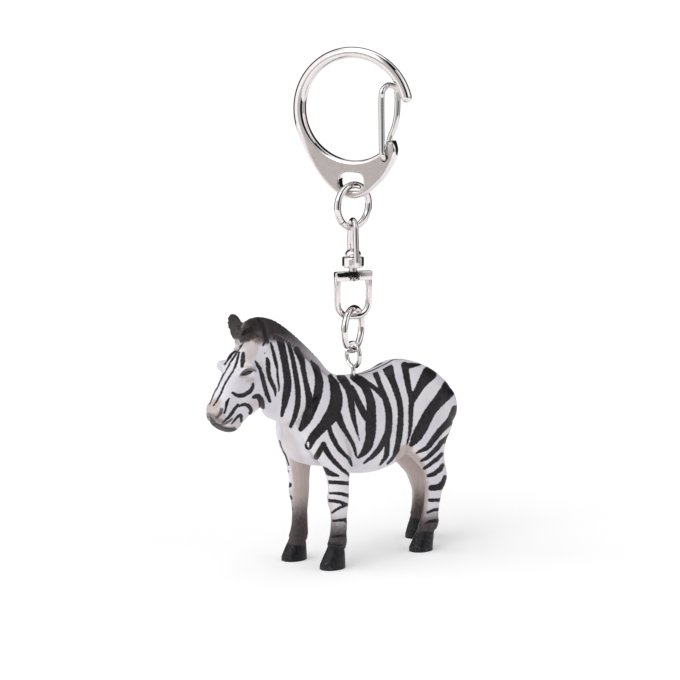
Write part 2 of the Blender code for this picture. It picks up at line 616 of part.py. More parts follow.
def torso_rings():
    rings = []
    for along, top, bottom, width in TORSO_SHARES:
        centre = Vector((body_x(along), 0, (top + bottom) / 2 * BACK_HEIGHT))
        up = Vector((0, 0, (top - bottom) / 2 * BACK_HEIGHT))
        rings.append(oval(centre, Vector((0, width * BODY_HALF_WIDTH, 0)), up, 24, 0.9))
    return rings


def neck_point(ahead, up):
    withers = WITHERS_BEHIND - CHEST_AHEAD
    return Vector((withers - ahead * NECK_REACH, 0, BACK_HEIGHT + up * NECK_RISE))


def neck_rings():
    rings = []
    for crest_ahead, crest_up, throat_ahead, throat_up, width in NECK_SHARES:
        crest = neck_point(crest_ahead, crest_up)
        throat = neck_point(throat_ahead, throat_up)
        across = Vector((0, width * BODY_HALF_WIDTH, 0))
        rings.append(oval((crest + throat) / 2, across, (crest - throat) / 2, 20, 0.92))
    return rings


def head_frame():
    """Poll, and the head's own directions: down the nose, in towards the jaw, and to its right."""
    pitch, yaw = math.radians(HEAD_PITCH), math.radians(HEAD_YAW)
    level = Vector((-math.cos(yaw), -math.sin(yaw), 0))
    along = level * math.cos(pitch) - Vector((0, 0, math.sin(pitch)))
    inward = -level * math.sin(pitch) - Vector((0, 0, math.cos(pitch)))
    right = Vector((-math.sin(yaw), math.cos(yaw), 0))
    ahead, up, down = FOREHEAD_SHARES
    return neck_point(ahead, up) - along * (HEAD_LENGTH * down), along, inward, right


def head_rings():
    poll, along, inward, right = head_frame()
    rings = []
    for down, nose, jaw, width, roundness in HEAD_SHARES:
        centre = poll + along * (down * HEAD_LENGTH) + inward * ((nose + jaw) / 2 * HEAD_DEPTH)
        up = -inward * ((jaw - nose) / 2 * HEAD_DEPTH)
        rings.append(oval(centre, right * (width * HEAD_HALF_WIDTH), up, 24, roundness))
    return rings


def leg_rings(table, side, stance, draw_in):
    """One leg from below its sole up into the body, in its own stance."""
    rings = []
    for up, along, out, length, width in table:
        x = body_x(along + follow(stance, up))
        y = side * (out - draw_in * max(0, 1 - up / DRAW_IN_SHARE)) * BODY_HALF_WIDTH
        across = Vector((length * LEG_WIDTH, 0, 0))
        depth = Vector((0, width * LEG_WIDTH, 0))
        rings.append(oval(Vector((x, y, up * BACK_HEIGHT)), across, depth, 16))
    sole = Vector((0, 0, table[0][0] * BACK_HEIGHT + SOLE_SINK))
    middle = sum(rings[0], Vector()) / len(rings[0])
    spread = [middle + (point - middle) * HOOF_SPREAD_SHARE - sole for point in rings[0]]
    return [spread, *rings]


def ear_rings(side, down, inset, out, lean_ahead, lean_out):
    poll, along, inward, right = head_frame()
    foot = poll + along * (down * HEAD_LENGTH) + inward * (inset * HEAD_DEPTH)
    foot += right * (side * out * HEAD_HALF_WIDTH)
    ahead = Vector((-right.y, right.x, 0))
    rise = (Vector((0, 0, 1)) + ahead * lean_ahead + right * (side * lean_out)).normalized()
    wide = (right - rise * right.dot(rise)).normalized()
    thin = rise.cross(wide)
    rings = []
    for up, width, depth in EAR_OUTLINE_SHARES:
        centre = foot + rise * (up * EAR_HEIGHT)
        rings.append(oval(centre, wide * (width * EAR_WIDTH / 2), thin * (depth * EAR_WIDTH / 2), 12))
    return rings


def add_brow(bm, side):
    """The ridge of bone over one eye."""
    poll, along, inward, right = head_frame()
    down, inset, out = BROW_SHARES
    place = poll + along * (down * HEAD_LENGTH) + inward * (inset * HEAD_DEPTH)
    where = Matrix.Translation(place + right * (side * out * HEAD_HALF_WIDTH))
    bmesh.ops.create_icosphere(bm, subdivisions=3, radius=BROW_RADIUS, matrix=where)


def mane_rings():
    spots = [neck_point(ahead, up) for ahead, up, height in MANE_SHARES]
    rings = []
    for i, (ahead, up, height) in enumerate(MANE_SHARES):
        run = (spots[min(i + 1, len(spots) - 1)] - spots[max(i - 1, 0)]).normalized()
        rise = Vector((-run.z, 0, run.x))
        across = Vector((0, MANE_WIDTH / 2, 0))
        rings.append(oval(spots[i], across, rise * (height * MANE_HEIGHT / 2), 12))
    return rings


def tail_rings():
    spots = [Vector((body_x(along), across * BODY_HALF_WIDTH, up * BACK_HEIGHT))
             for along, up, across, width in TAIL_SHARES]
    rings = []
    for i, row in enumerate(TAIL_SHARES):
        run = (spots[min(i + 1, len(spots) - 1)] - spots[max(i - 1, 0)]).normalized()
        side = Vector((0, 1, 0))
        depth = run.cross(side).normalized()
        half = row[3] * TAIL_WIDTH
        rings.append(oval(spots[i], side * half, depth * half, 12))
    return rings


def make_figure():
    """The zebra: overlapping lofts fused into one skin, cut level at the soles, bored in the back."""
    bm = bmesh.new()
    loft_faces(bm, torso_rings())
    loft_faces(bm, neck_rings())
    loft_faces(bm, head_rings())
    for table, side, stance, draw_in in LEGS.values():
        loft_faces(bm, leg_rings(table, side, stance, draw_in))
    for row in EAR_SHARES.values():
        loft_faces(bm, ear_rings(*row))
    add_brow(bm, -1)
    add_brow(bm, 1)
    loft_faces(bm, mane_rings())
    loft_faces(bm, tail_rings())
    figure = mesh_object("zebra_figure", bm, PARTS)
    skin = figure.modifiers.new("skin", "REMESH")
    skin.mode = "VOXEL"
    skin.voxel_size = GRAIN
    soften = figure.modifiers.new("soften", "SMOOTH")
    soften.factor = 0.5
    soften.iterations = 4
    fewer = figure.modifiers.new("fewer", "DECIMATE")
    fewer.ratio = DETAIL_SHARE
    floor_size = (3 * BODY_LENGTH, 6 * BODY_HALF_WIDTH, BACK_HEIGHT / 2)
    floor = box("sole_cut", floor_size, (0, 0, -BACK_HEIGHT / 4), CUTTERS)
    combine(figure, floor, "DIFFERENCE")
    depth = SCREW_SHANK + GAP
    socket = rod("screw_socket", SCREW_EYE_WIRE + 2 * GAP, depth + OVERRUN, CUTTERS, sides=16)
    combine(figure, socket, "DIFFERENCE")
    hang(figure, FIGURE)
    hang(floor, FIGURE)
    hang(socket, FIGURE, (0, 0, BACK_HEIGHT - depth / 2 + OVERRUN / 2))
    figure.data.materials.append(PLASTIC)
    return figure


clear_scene()
PARTS = new_collection("zebra_key_ring")
CUTTERS = new_collection("cutters")
NICKEL = material("polished_nickel", (0.72, 0.70, 0.68), 0.16, 1.0)
STEEL = material("spring_steel", (0.66, 0.65, 0.64), 0.22, 1.0)
PLASTIC = material("painted_plastic", (0.80, 0.78, 0.78), 0.48, 0.0)
CLASP = pivot("clasp_frame", (0, 0, 0), CLASP_TURN)
SWIVEL = pivot("shackle_swivel", (0, 0, BAR_TOP_Z), SHACKLE_TURN)
FIGURE = pivot("figure_frame", (0, 0, SOLE_Z), 0)
make_hook()
make_gate()
make_link("upper_jump_ring", UPPER_LINK_TOP_Z, UPPER_LINK_TURN)
make_swivel_eye()
make_rivet()
make_shackle()
make_link("lower_jump_ring", LOWER_LINK_TOP_Z, LOWER_LINK_TURN)
make_screw_eye()
make_figure()
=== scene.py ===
# %% [markdown]
# # Dressing a zebra key ring
# The frame is the CAD model that has already been packed: nine solids that hang from one another in a
# chain. This lesson keeps every solid in its place and gives each one its real surface: bent and
# polished wire, a cast plate with a satin face, and a soft plastic zebra with a hand-painted coat.

# %% Load the frame
import json
import math

import bmesh
import bpy
import numpy as np
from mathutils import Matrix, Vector

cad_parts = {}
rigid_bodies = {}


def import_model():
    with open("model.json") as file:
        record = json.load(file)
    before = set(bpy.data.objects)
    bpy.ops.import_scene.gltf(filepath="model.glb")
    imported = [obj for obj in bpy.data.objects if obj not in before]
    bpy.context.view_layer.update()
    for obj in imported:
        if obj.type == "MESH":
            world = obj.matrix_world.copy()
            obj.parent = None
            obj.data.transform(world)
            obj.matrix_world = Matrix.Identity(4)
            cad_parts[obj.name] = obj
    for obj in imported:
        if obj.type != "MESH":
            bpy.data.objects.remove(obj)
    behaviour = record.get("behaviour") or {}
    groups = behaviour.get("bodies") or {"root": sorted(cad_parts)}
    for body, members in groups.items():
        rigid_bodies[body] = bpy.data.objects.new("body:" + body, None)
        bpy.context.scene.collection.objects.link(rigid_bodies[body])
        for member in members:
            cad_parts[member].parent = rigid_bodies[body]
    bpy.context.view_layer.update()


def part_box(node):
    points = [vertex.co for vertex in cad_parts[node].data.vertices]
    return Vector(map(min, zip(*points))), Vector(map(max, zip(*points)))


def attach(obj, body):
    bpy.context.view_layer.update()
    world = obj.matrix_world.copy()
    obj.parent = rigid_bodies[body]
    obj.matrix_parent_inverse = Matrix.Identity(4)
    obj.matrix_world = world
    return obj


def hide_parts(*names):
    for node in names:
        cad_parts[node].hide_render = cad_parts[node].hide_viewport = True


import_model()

MM = 0.001

# %% [markdown]
# ## Where the camera stands
# A photograph is a measurement. The figure's hooves, its two ears and the width of the hook ring give
# the direction that the camera looked in, and the size of the ring gives its scale. Once the camera is
# in the script, any point of the photograph can be turned into a place on the figure, and back.

# %% Camera
AZIMUTH, ELEVATION = math.radians(-38), math.radians(10.5)
CAMERA_DISTANCE = 0.75
SENSOR_WIDTH = 36
PHOTO_SIZE = 680
PIXEL = 0.25 * MM
# The chain hangs in this column of the photograph, whose middle lies this far below the hook's top
CHAIN_PIXEL, HANG_TO_CENTRE = 353, 0.07045

side_way = Vector((math.cos(AZIMUTH), math.sin(AZIMUTH), 0))
back_way = Vector((math.sin(AZIMUTH) * math.cos(ELEVATION), -math.cos(AZIMUTH) * math.cos(ELEVATION),
                   math.sin(ELEVATION)))
up_way = back_way.cross(side_way)
aim = Vector((0, 0, -HANG_TO_CENTRE)) - side_way * ((CHAIN_PIXEL - PHOTO_SIZE / 2) * PIXEL)
eye_place = aim + back_way * CAMERA_DISTANCE
camera_data = bpy.data.cameras.new("camera")
camera_data.sensor_width = SENSOR_WIDTH
camera_data.lens = SENSOR_WIDTH * CAMERA_DISTANCE / (PHOTO_SIZE * PIXEL)
camera = bpy.data.objects.new("camera", camera_data)
camera.location = eye_place
camera.rotation_euler = (-back_way).to_track_quat("-Z", "Y").to_euler()
bpy.context.scene.collection.objects.link(camera)
bpy.context.scene.camera = camera
print("lens, mm:", round(camera_data.lens, 1))


def to_pixels(points):
    """Where points of the frame show in the photograph."""
    local = (points - np.array(eye_place)) @ np.array([side_way, up_way, back_way]).T
    focal = CAMERA_DISTANCE / PIXEL
    return np.stack([PHOTO_SIZE / 2 - local[:, 0] / local[:, 2] * focal,
                     PHOTO_SIZE / 2 + local[:, 1] / local[:, 2] * focal], 1)


# %% [markdown]
# ## The floor
# The photograph is a catalogue picture on white paper. The floor is a round sheet at the height of the
# soles. Its own glow rises with the distance, so its edge melts into the white round it, while the
# hooves keep a faint shadow. A plain white floor would be simpler, but its rim would show.

# %% Tools for nodes and meshes
SOLE_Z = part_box("zebra_figure")[0].z


def add(tree, kind, wires=(), **settings):
    """One node. wires gives an input by name or place, and the value or the output that feeds it."""
    made = tree.nodes.new(kind)
    for name, value in settings.items():
        setattr(made, name, value)
    for key, value in dict(wires).items():
        if isinstance(value, bpy.types.NodeSocket):
            tree.links.new(value, made.inputs[key])
        else:
            made.inputs[key].default_value = value
    return made


def mesh_piece(name, verts, faces):
    """An object from bare points and faces."""
    mesh = bpy.data.meshes.new(name)
    mesh.from_pydata([tuple(v) for v in verts], [], faces)
    thing = bpy.data.objects.new(name, mesh)
    bpy.context.scene.collection.objects.link(thing)
    return thing


print("the soles stand at, mm:", round(SOLE_Z / MM, 1))

# %% Floor
FLOOR_RADIUS, FLOOR_SIDES = 0.42, 96
PAPER_WHITE, PAPER_ROUGH, PAPER_GRAIN = (0.93, 0.93, 0.94, 1), 0.9, 900.0
# Distance from the hook in metres and strength, where the glow starts to rise and where it is full
GLOW_START, GLOW_FULL = (0.04, 0.19), (0.30, 0.37)
floor = mesh_piece("floor", [(FLOOR_RADIUS * math.cos(t), FLOOR_RADIUS * math.sin(t), SOLE_Z)
                             for t in np.linspace(0, 2 * math.pi, FLOOR_SIDES, endpoint=False)],
                   [range(FLOOR_SIDES)])
paper = bpy.data.materials.new("white_paper")
paper.use_nodes = True
tree = paper.node_tree
grain = add(tree, "ShaderNodeTexNoise", {"Scale": PAPER_GRAIN, "Detail": 2.0})
bump = add(tree, "ShaderNodeBump", {"Strength": 0.04, "Distance": 0.0002, "Height": grain.outputs["Fac"]})
paper_place = add(tree, "ShaderNodeTexCoord").outputs["Object"]
spread = add(tree, "ShaderNodeVectorMath", {0: paper_place}, operation="LENGTH")
glow = add(tree, "ShaderNodeMapRange", {
    "Value": spread.outputs["Value"], "From Min": GLOW_START[0], "From Max": GLOW_FULL[0],
    "To Min": GLOW_START[1], "To Max": GLOW_FULL[1]}, interpolation_type="SMOOTHSTEP")
shader = tree.nodes["Principled BSDF"]
shader.inputs["Base Color"].default_value = PAPER_WHITE
shader.inputs["Roughness"].default_value = PAPER_ROUGH
shader.inputs["Emission Color"].default_value = (1, 1, 1, 1)
tree.links.new(glow.outputs["Result"], shader.inputs["Emission Strength"])
tree.links.new(bump.outputs["Normal"], shader.inputs["Normal"])
floor.data.materials.append(paper)
print("floor radius, m:", FLOOR_RADIUS)

# %% [markdown]
# ## The room and its lamps
# Polished metal shows what stands round it, so the room matters more than the lamps. A ring of dark
# cards stands behind the object and one dark card in front of it, on the right: they draw the fine
# black lines along the wire. Softboxes on the left and above draw the highlights. The camera itself
# sees plain white, by a Light Path node. Cards made as meshes would work too, but they would also
# throw shadows and have to be hidden from the camera.

# %% Room
world = bpy.data.worlds.new("white_room")
bpy.context.scene.world = world
world.use_nodes = True
tree = world.node_tree
way = add(tree, "ShaderNodeTexCoord").outputs["Generated"]


def along_way(axis):
    """How far each direction of the room points along an axis of the camera, from -1 to 1."""
    return add(tree, "ShaderNodeVectorMath", {0: way, 1: tuple(axis)},
               operation="DOT_PRODUCT").outputs["Value"]


def card(value, start, full, still, end):
    """1 between full and still, 0 outside start and end: the reach of a card or a softbox."""
    rise = add(tree, "ShaderNodeMapRange", {"Value": value, "From Min": start, "From Max": full},
               interpolation_type="SMOOTHSTEP").outputs[0]
    fall = add(tree, "ShaderNodeMapRange", {"Value": value, "From Min": end, "From Max": still},
               interpolation_type="SMOOTHSTEP").outputs[0]
    return add(tree, "ShaderNodeMath", {0: rise, 1: fall}, operation="MULTIPLY").outputs[0]


def sum_up(operation, *values):
    """Join the values two by two with one kind of Math node."""
    total = values[0]
    for value in values[1:]:
        total = add(tree, "ShaderNodeMath", {0: total, 1: value}, operation=operation).outputs[0]
    return total


nearer, righter, higher = along_way(back_way), along_way(side_way), along_way(up_way)
# Each card or softbox: where it starts, is full, is still full and ends, along the axis
card_ring = card(nearer, -0.93, -0.88, -0.34, -0.16)
card_ahead = sum_up("MULTIPLY", card(righter, 0.05, 0.12, 0.60, 0.76), card(nearer, 0.0, 0.2, 1.5, 2.0))
left_box, top_box = card(righter, -1.5, -1.2, -0.76, -0.60), card(higher, 0.62, 0.78, 1.5, 2.0)
LEFT_LIGHT, TOP_LIGHT, WALL_LIGHT, CARD_LIGHT = 0.60, 0.45, 0.60, 0.02
softboxes = sum_up("ADD", sum_up("MULTIPLY", left_box, LEFT_LIGHT), sum_up("MULTIPLY", top_box, TOP_LIGHT),
                   WALL_LIGHT)
cards = add(tree, "ShaderNodeMapRange", {
    "Value": sum_up("MAXIMUM", card_ring, card_ahead), "To Min": 1.0, "To Max": CARD_LIGHT})
room = sum_up("MULTIPLY", softboxes, cards.outputs[0])
# What the camera sees directly is plain white paper
straight = add(tree, "ShaderNodeLightPath").outputs["Is Camera Ray"]
room_tone = add(tree, "ShaderNodeMix", {0: straight, 2: room, 3: 1.0}, data_type="FLOAT").outputs[0]
background = tree.nodes["Background"]
tree.links.new(room_tone, background.inputs["Color"])
background.inputs["Strength"].default_value = 1.05
bpy.context.scene.view_settings.view_transform = "Standard"
print("white_room has", len(tree.nodes), "nodes")

# %% Lamps
level_back = Vector((back_way.x, back_way.y, 0)).normalized()
# Each lamp: right of the aim, towards the camera, up and size in metres, and power in watts
LAMPS = {"key": (-0.35, 0.45, 0.55, 0.5, 1.5), "fill": (0.55, 0.25, 0.35, 0.6, 0.7),
         "top": (0.0, -0.2, 0.8, 0.7, 1.0)}
for name, (right, ahead, up, size, power) in LAMPS.items():
    lamp = bpy.data.lights.new(name, "AREA")
    lamp.energy = power
    lamp.size = size
    lamp_object = bpy.data.objects.new(name, lamp)
    lamp_object.location = aim + side_way * right + level_back * ahead + Vector((0, 0, up))
    lamp_object.rotation_euler = (aim - lamp_object.location).to_track_quat("-Z", "Y").to_euler()
    bpy.context.scene.collection.objects.link(lamp_object)
print("lamps:", ", ".join(LAMPS))

# %% [markdown]
# ## Metal that has been handled
# Nickel plate is bright, but never a perfect mirror: it has faint waves from the casting, a haze of
# short scratches and small dull patches. One node group makes all three from the piece's own
# coordinates, and each metal places it with its own values.

# %% Node group for worn metal


def group_tree(name, inputs, outputs):
    """A shader node group with named inputs (with their values) and outputs."""
    made = bpy.data.node_groups.new(name, "ShaderNodeTree")
    for label, value in inputs.items():
        kind = "NodeSocketVector" if isinstance(value, tuple) else "NodeSocketFloat"
        socket = made.interface.new_socket(label, in_out="INPUT", socket_type=kind)
        socket.default_value = value
    for label, kind in outputs.items():
        made.interface.new_socket(label, in_out="OUTPUT", socket_type=kind)
    return made, made.nodes.new("NodeGroupInput").outputs, made.nodes.new("NodeGroupOutput").inputs


# Noise scales are cells in a metre. A scratch is a fine cell drawn out along one slanting way
WAVE_CELLS, PATCH_CELLS, SCRATCH_CELLS = 260.0, 700.0, 900.0
SCRATCH_TURN, SCRATCH_STRETCH = (0.4, 0.9, 0.3), (1.0, 14.0, 14.0)
SCRATCH_DEPTH, SCRATCH_HAZE = -0.02, 0.10
metal_wear, given, result = group_tree(
    "metal_wear", {"Place": (0, 0, 0), "Scratches": 1.0, "Waves": 1.0, "Smooth": 0.08, "Dull": 0.2},
    {"Roughness": "NodeSocketFloat", "Height": "NodeSocketFloat", "Tone": "NodeSocketFloat"})
waves = add(metal_wear, "ShaderNodeTexNoise", {
    "Vector": given["Place"], "Scale": WAVE_CELLS, "Detail": 2.0})
patches = add(metal_wear, "ShaderNodeTexNoise", {
    "Vector": given["Place"], "Scale": PATCH_CELLS, "Detail": 5.0})
stretch = add(metal_wear, "ShaderNodeMapping", {
    "Vector": given["Place"], "Rotation": SCRATCH_TURN, "Scale": SCRATCH_STRETCH})
scratch = add(metal_wear, "ShaderNodeTexNoise", {
    "Vector": stretch.outputs["Vector"], "Scale": SCRATCH_CELLS, "Detail": 3.0})
thin = add(metal_wear, "ShaderNodeMapRange", {
    "Value": scratch.outputs["Fac"], "From Min": 0.58, "From Max": 0.72})
scuffs = add(metal_wear, "ShaderNodeMath", {0: thin.outputs["Result"], 1: given["Scratches"]},
             operation="MULTIPLY")
swell = add(metal_wear, "ShaderNodeMath", {0: waves.outputs["Fac"], 1: given["Waves"]},
            operation="MULTIPLY")
relief = add(metal_wear, "ShaderNodeMath", {
    0: scuffs.outputs["Value"], 1: SCRATCH_DEPTH, 2: swell.outputs["Value"]}, operation="MULTIPLY_ADD")
dull = add(metal_wear, "ShaderNodeMapRange", {
    "Value": patches.outputs["Fac"], "From Min": 0.35, "From Max": 0.75,
    "To Min": given["Smooth"], "To Max": given["Dull"]})
rough = add(metal_wear, "ShaderNodeMath", {
    0: scuffs.outputs["Value"], 1: SCRATCH_HAZE, 2: dull.outputs["Result"]}, operation="MULTIPLY_ADD")
tone = add(metal_wear, "ShaderNodeMapRange", {
    "Value": patches.outputs["Fac"], "To Min": 0.90, "To Max": 1.05})
metal_wear.links.new(rough.outputs["Value"], result["Roughness"])
metal_wear.links.new(relief.outputs["Value"], result["Height"])
metal_wear.links.new(tone.outputs["Result"], result["Tone"])
print("metal_wear has", len(metal_wear.nodes), "nodes")

# %% [markdown]
# The castings and the rings are polished nickel. The hook's plate has a satin face, tumbled but not
# buffed, which is a mask on the mesh. The gate and the screw eye are spring steel, a little greyer.

# %% Metals
SATIN_TONE, SATIN_GRAIN, SATIN_ROUGH, TUMBLE_CELLS = (0.66, 0.63, 0.62, 1), 0.8, 0.30, 5200.0
BUMP_STRENGTH, BUMP_HIGH = 0.12, 0.00006


def metal(name, colour, smooth, dull, scratches, waves, satin=None):
    """A worn metal. satin names a mesh attribute that turns the polish into a fine tumbled grain."""
    made = bpy.data.materials.new(name)
    made.use_nodes = True
    tree = made.node_tree
    place = add(tree, "ShaderNodeTexCoord").outputs["Object"]
    worn = add(tree, "ShaderNodeGroup", {
        "Place": place, "Scratches": scratches, "Waves": waves, "Smooth": smooth, "Dull": dull},
        node_tree=metal_wear).outputs
    colour = add(tree, "ShaderNodeMix", {"Factor": 1.0, 6: (*colour, 1), 7: worn["Tone"]},
                 data_type="RGBA", blend_type="MULTIPLY").outputs[2]
    roughness, height = worn["Roughness"], worn["Height"]
    if satin:
        mask = add(tree, "ShaderNodeAttribute", attribute_name=satin).outputs["Fac"]
        tumble = add(tree, "ShaderNodeTexNoise", {"Vector": place, "Scale": TUMBLE_CELLS, "Detail": 2.0})
        grain = add(tree, "ShaderNodeMath", {0: tumble.outputs["Fac"], 1: mask}, operation="MULTIPLY")
        height = add(tree, "ShaderNodeMath", {0: grain.outputs["Value"], 1: SATIN_GRAIN, 2: height},
                     operation="MULTIPLY_ADD").outputs["Value"]
        roughness = add(tree, "ShaderNodeMath", {0: mask, 1: SATIN_ROUGH, 2: roughness},
                        operation="MULTIPLY_ADD").outputs["Value"]
        colour = add(tree, "ShaderNodeMix", {"Factor": mask, 6: colour, 7: SATIN_TONE}, data_type="RGBA",
                     blend_type="MULTIPLY").outputs[2]
    bump = add(tree, "ShaderNodeBump", {"Strength": BUMP_STRENGTH, "Distance": BUMP_HIGH, "Height": height})
    shader = tree.nodes["Principled BSDF"]
    shader.inputs["Metallic"].default_value = 1.0
    tree.links.new(colour, shader.inputs["Base Color"])
    tree.links.new(roughness, shader.inputs["Roughness"])
    tree.links.new(bump.outputs["Normal"], shader.inputs["Normal"])
    return made


NICKEL_TONE, STEEL_TONE = (0.76, 0.72, 0.71), (0.72, 0.69, 0.68)
nickel = metal("polished_nickel", NICKEL_TONE, 0.03, 0.09, 0.6, 0.5)
cast_nickel = metal("cast_nickel", NICKEL_TONE, 0.04, 0.10, 0.6, 0.5, satin="satin")
steel = metal("spring_steel", STEEL_TONE, 0.05, 0.12, 0.7, 0.4)
print("metals:", nickel.name, cast_nickel.name, steel.name)

# %% [markdown]
# ## Bent wire
# The two jump rings, the gate, the loop of the swivel's eye, the shackle's bow and the screw eye are
# all wire that follows a path, so one Geometry Nodes tree makes them: it sweeps a round section along
# a curve. A curve object's bevel would also do, but a tree keeps the width and the number of sides as
# named inputs, and it sets the material too.

# %% Tools for Geometry Nodes
MERGE = MM / 1000


def geometry_tree(name, inputs):
    """A Geometry Nodes tree with named inputs for its sizes and its finish."""
    made = bpy.data.node_groups.new(name, "GeometryNodeTree")
    made.interface.new_socket("Geometry", in_out="INPUT", socket_type="NodeSocketGeometry")
    kinds = {float: "NodeSocketFloat", int: "NodeSocketInt", bpy.types.Material: "NodeSocketMaterial"}
    for label, kind in inputs.items():
        made.interface.new_socket(label, in_out="INPUT", socket_type=kinds[kind])
    made.interface.new_socket("Geometry", in_out="OUTPUT", socket_type="NodeSocketGeometry")
    return made, made.nodes.new("NodeGroupInput").outputs, made.nodes.new("NodeGroupOutput").inputs


def finish_tree(tree, geometry, finish, result):
    """Every tree ends the same way: real geometry with its material."""
    real = add(tree, "GeometryNodeRealizeInstances", {"Geometry": geometry})
    made = add(tree, "GeometryNodeSetMaterial", {"Geometry": real.outputs[0], "Material": finish})
    tree.links.new(made.outputs[0], result["Geometry"])


def grow(base, tree, values, name):
    """Run a Geometry Nodes tree on an object and keep its result as a plain mesh object."""
    modifier = base.modifiers.new("grow", "NODES")
    modifier.node_group = tree
    for item in tree.interface.items_tree:
        if item.item_type == "SOCKET" and item.in_out == "INPUT" and item.name in values:
            modifier[item.identifier] = values[item.name]
    graph = bpy.context.evaluated_depsgraph_get()
    mesh = bpy.data.meshes.new_from_object(base.evaluated_get(graph))
    base.modifiers.remove(modifier)
    bpy.data.objects.remove(base, do_unlink=True)
    mesh.name = name
    thing = bpy.data.objects.new(name, mesh)
    bpy.context.scene.collection.objects.link(thing)
    bm = bmesh.new()
    bm.from_mesh(mesh)
    bmesh.ops.remove_doubles(bm, verts=bm.verts, dist=MERGE)
    bmesh.ops.recalc_face_normals(bm, faces=bm.faces)
    bm.to_mesh(mesh)
    bm.free()
    return thing


print("points are merged where they lie within, mm:", round(MERGE / MM, 4))

# %% Tree for wire
wire_tree, given, result = geometry_tree("bent_wire", {
    "Width": float, "Sides": int, "Finish": bpy.types.Material})
half = add(wire_tree, "ShaderNodeMath", {0: given["Width"], 1: 2.0}, operation="DIVIDE")
round_section = add(wire_tree, "GeometryNodeCurvePrimitiveCircle", {
    "Resolution": given["Sides"], "Radius": half.outputs["Value"]}, mode="RADIUS")
swept = add(wire_tree, "GeometryNodeCurveToMesh", {
    "Curve": given["Geometry"], "Profile Curve": round_section.outputs[0], "Fill Caps": True})
smooth = add(wire_tree, "GeometryNodeSetShadeSmooth", {"Geometry": swept.outputs[0]})
finish_tree(wire_tree, smooth.outputs[0], given["Finish"], result)
WIRE_SIDES, WIRE_SHARP = 28, 50


def wire(name, points, width, finish, ends=()):
    """Wire through the points. ends gives the width left at the tip, as shares, to round both ends."""
    curve = bpy.data.curves.new(name, "CURVE")
    curve.dimensions = "3D"
    spline = curve.splines.new("POLY")
    spline.points.add(len(points) - 1)
    for knot, point in zip(spline.points, points):
        knot.co = (*point, 1)
    for i, share in enumerate(ends):
        spline.points[i].radius = spline.points[-1 - i].radius = share
    base = bpy.data.objects.new(name + "_path", curve)
    bpy.context.scene.collection.objects.link(base)
    made = grow(base, wire_tree, {"Width": width, "Sides": WIRE_SIDES, "Finish": finish}, name)
    made.data.set_sharp_from_angle(angle=math.radians(WIRE_SHARP))
    return made


print("bent_wire has", len(wire_tree.nodes), "nodes")

# %% Paths, places and the frame


def smooth_path(points, steps):
    """Points on a smooth curve through the given points. Works on rows of numbers of any length."""
    points = [np.asarray(p, float) for p in points]
    ends = [points[0] * 2 - points[1], *points, points[-1] * 2 - points[-2]]
    path = []
    for a, b, c, d in zip(ends, ends[1:], ends[2:], ends[3:]):
        for step in range(steps):
            t = step / steps
            path.append(b + (c - a) * (t / 2) + (a * 2 - b * 5 + c * 4 - d) * (t * t / 2)
                        + (b * 3 - a - c * 3 + d) * (t ** 3 / 2))
    path.append(points[-1])
    return path


def turned_points(points, turn, place):
    """Points drawn in the X-Z plane, turned about the upright axis and set at their place."""
    c, s = math.cos(math.radians(turn)), math.sin(math.radians(turn))
    return [Vector((p[0] * c - p[1] * s, p[0] * s + p[1] * c, p[2])) + Vector(place) for p in points]


def dress(piece, body, node):
    """The piece rides on its body and stands for its CAD node."""
    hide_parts(node)
    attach(piece, body)
    lo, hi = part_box(node)
    reach = [v.co for v in piece.data.vertices]
    off = max(max(lo[i] - min(p[i] for p in reach), max(p[i] for p in reach) - hi[i]) for i in range(3))
    print(f"{piece.name}: {len(piece.data.polygons)} faces, {off / MM:+.2f} mm beyond its solid's box")


print("a smooth path through 3 points has", len(smooth_path([(0, 0), (1, 0), (1, 1)], 4)), "points")

# %% [markdown]
# ## The cast hook
# Zinc is pressed into a steel mould, tumbled, and plated with nickel. The hook is one sweep round a
# circle whose section changes: a round bar from the open nose to the left side, then a flat plate with
# soft edges that grows downwards and ends in the ear that holds the gate. A loft in Python follows
# those changing rules section by section, which a curve's bevel can't. A boolean then cuts the slot.

# %% Sizes of the hook, as in the CAD
RING_INNER, RING_WIRE, NOSE_WIRE = 12.4 * MM, 3.3 * MM, 2.8 * MM
PLATE_THICK, PLATE_DROP, PLATE_EDGE = 3.2 * MM, 6.15 * MM, 1.0 * MM
HOLE_WIDTH, HOLE_HEIGHT, HOLE_EDGE, LIP = 6.4 * MM, 4.7 * MM, 0.5 * MM, 1.9 * MM
# Degrees round the ring: the nose's tip, the plate's start and its way to full thickness, the ear's end
NOSE_ANGLE, PLATE_ANGLE, PLATE_BLEND, EAR_ANGLE, CLASP_TURN = 16, 196, 40, 326, -58
RING_OUTER = RING_INNER + RING_WIRE
RING_CENTRE = NOSE_WIRE - RING_OUTER
PLATE_TIP = RING_CENTRE - RING_OUTER - PLATE_DROP
# By angle, how far the plate's outer edge drops and how far its inner edge moves in, as shares
PLATE_EDGE_SHARES = np.array(smooth_path([
    (196, 0.00), (209, 0.00), (221, 0.07), (232, 0.22), (242, 0.43), (252, 0.68), (262, 0.92),
    (271, 1.00), (280, 0.87), (289, 0.62), (298, 0.42), (306, 0.22), (314, 0.05), (319, -0.08),
    (322, -0.18), (324.5, -0.32), (326, -0.46)], 6))
EAR_INNER_SHARES = np.array(smooth_path([
    (300, 0.0), (312, 0.01), (318, 0.05), (322, 0.055), (324.5, 0.02), (326, -0.035)], 6))
print("the plate's tip, mm:", round(PLATE_TIP / MM, 2))

# %% Solids from sections


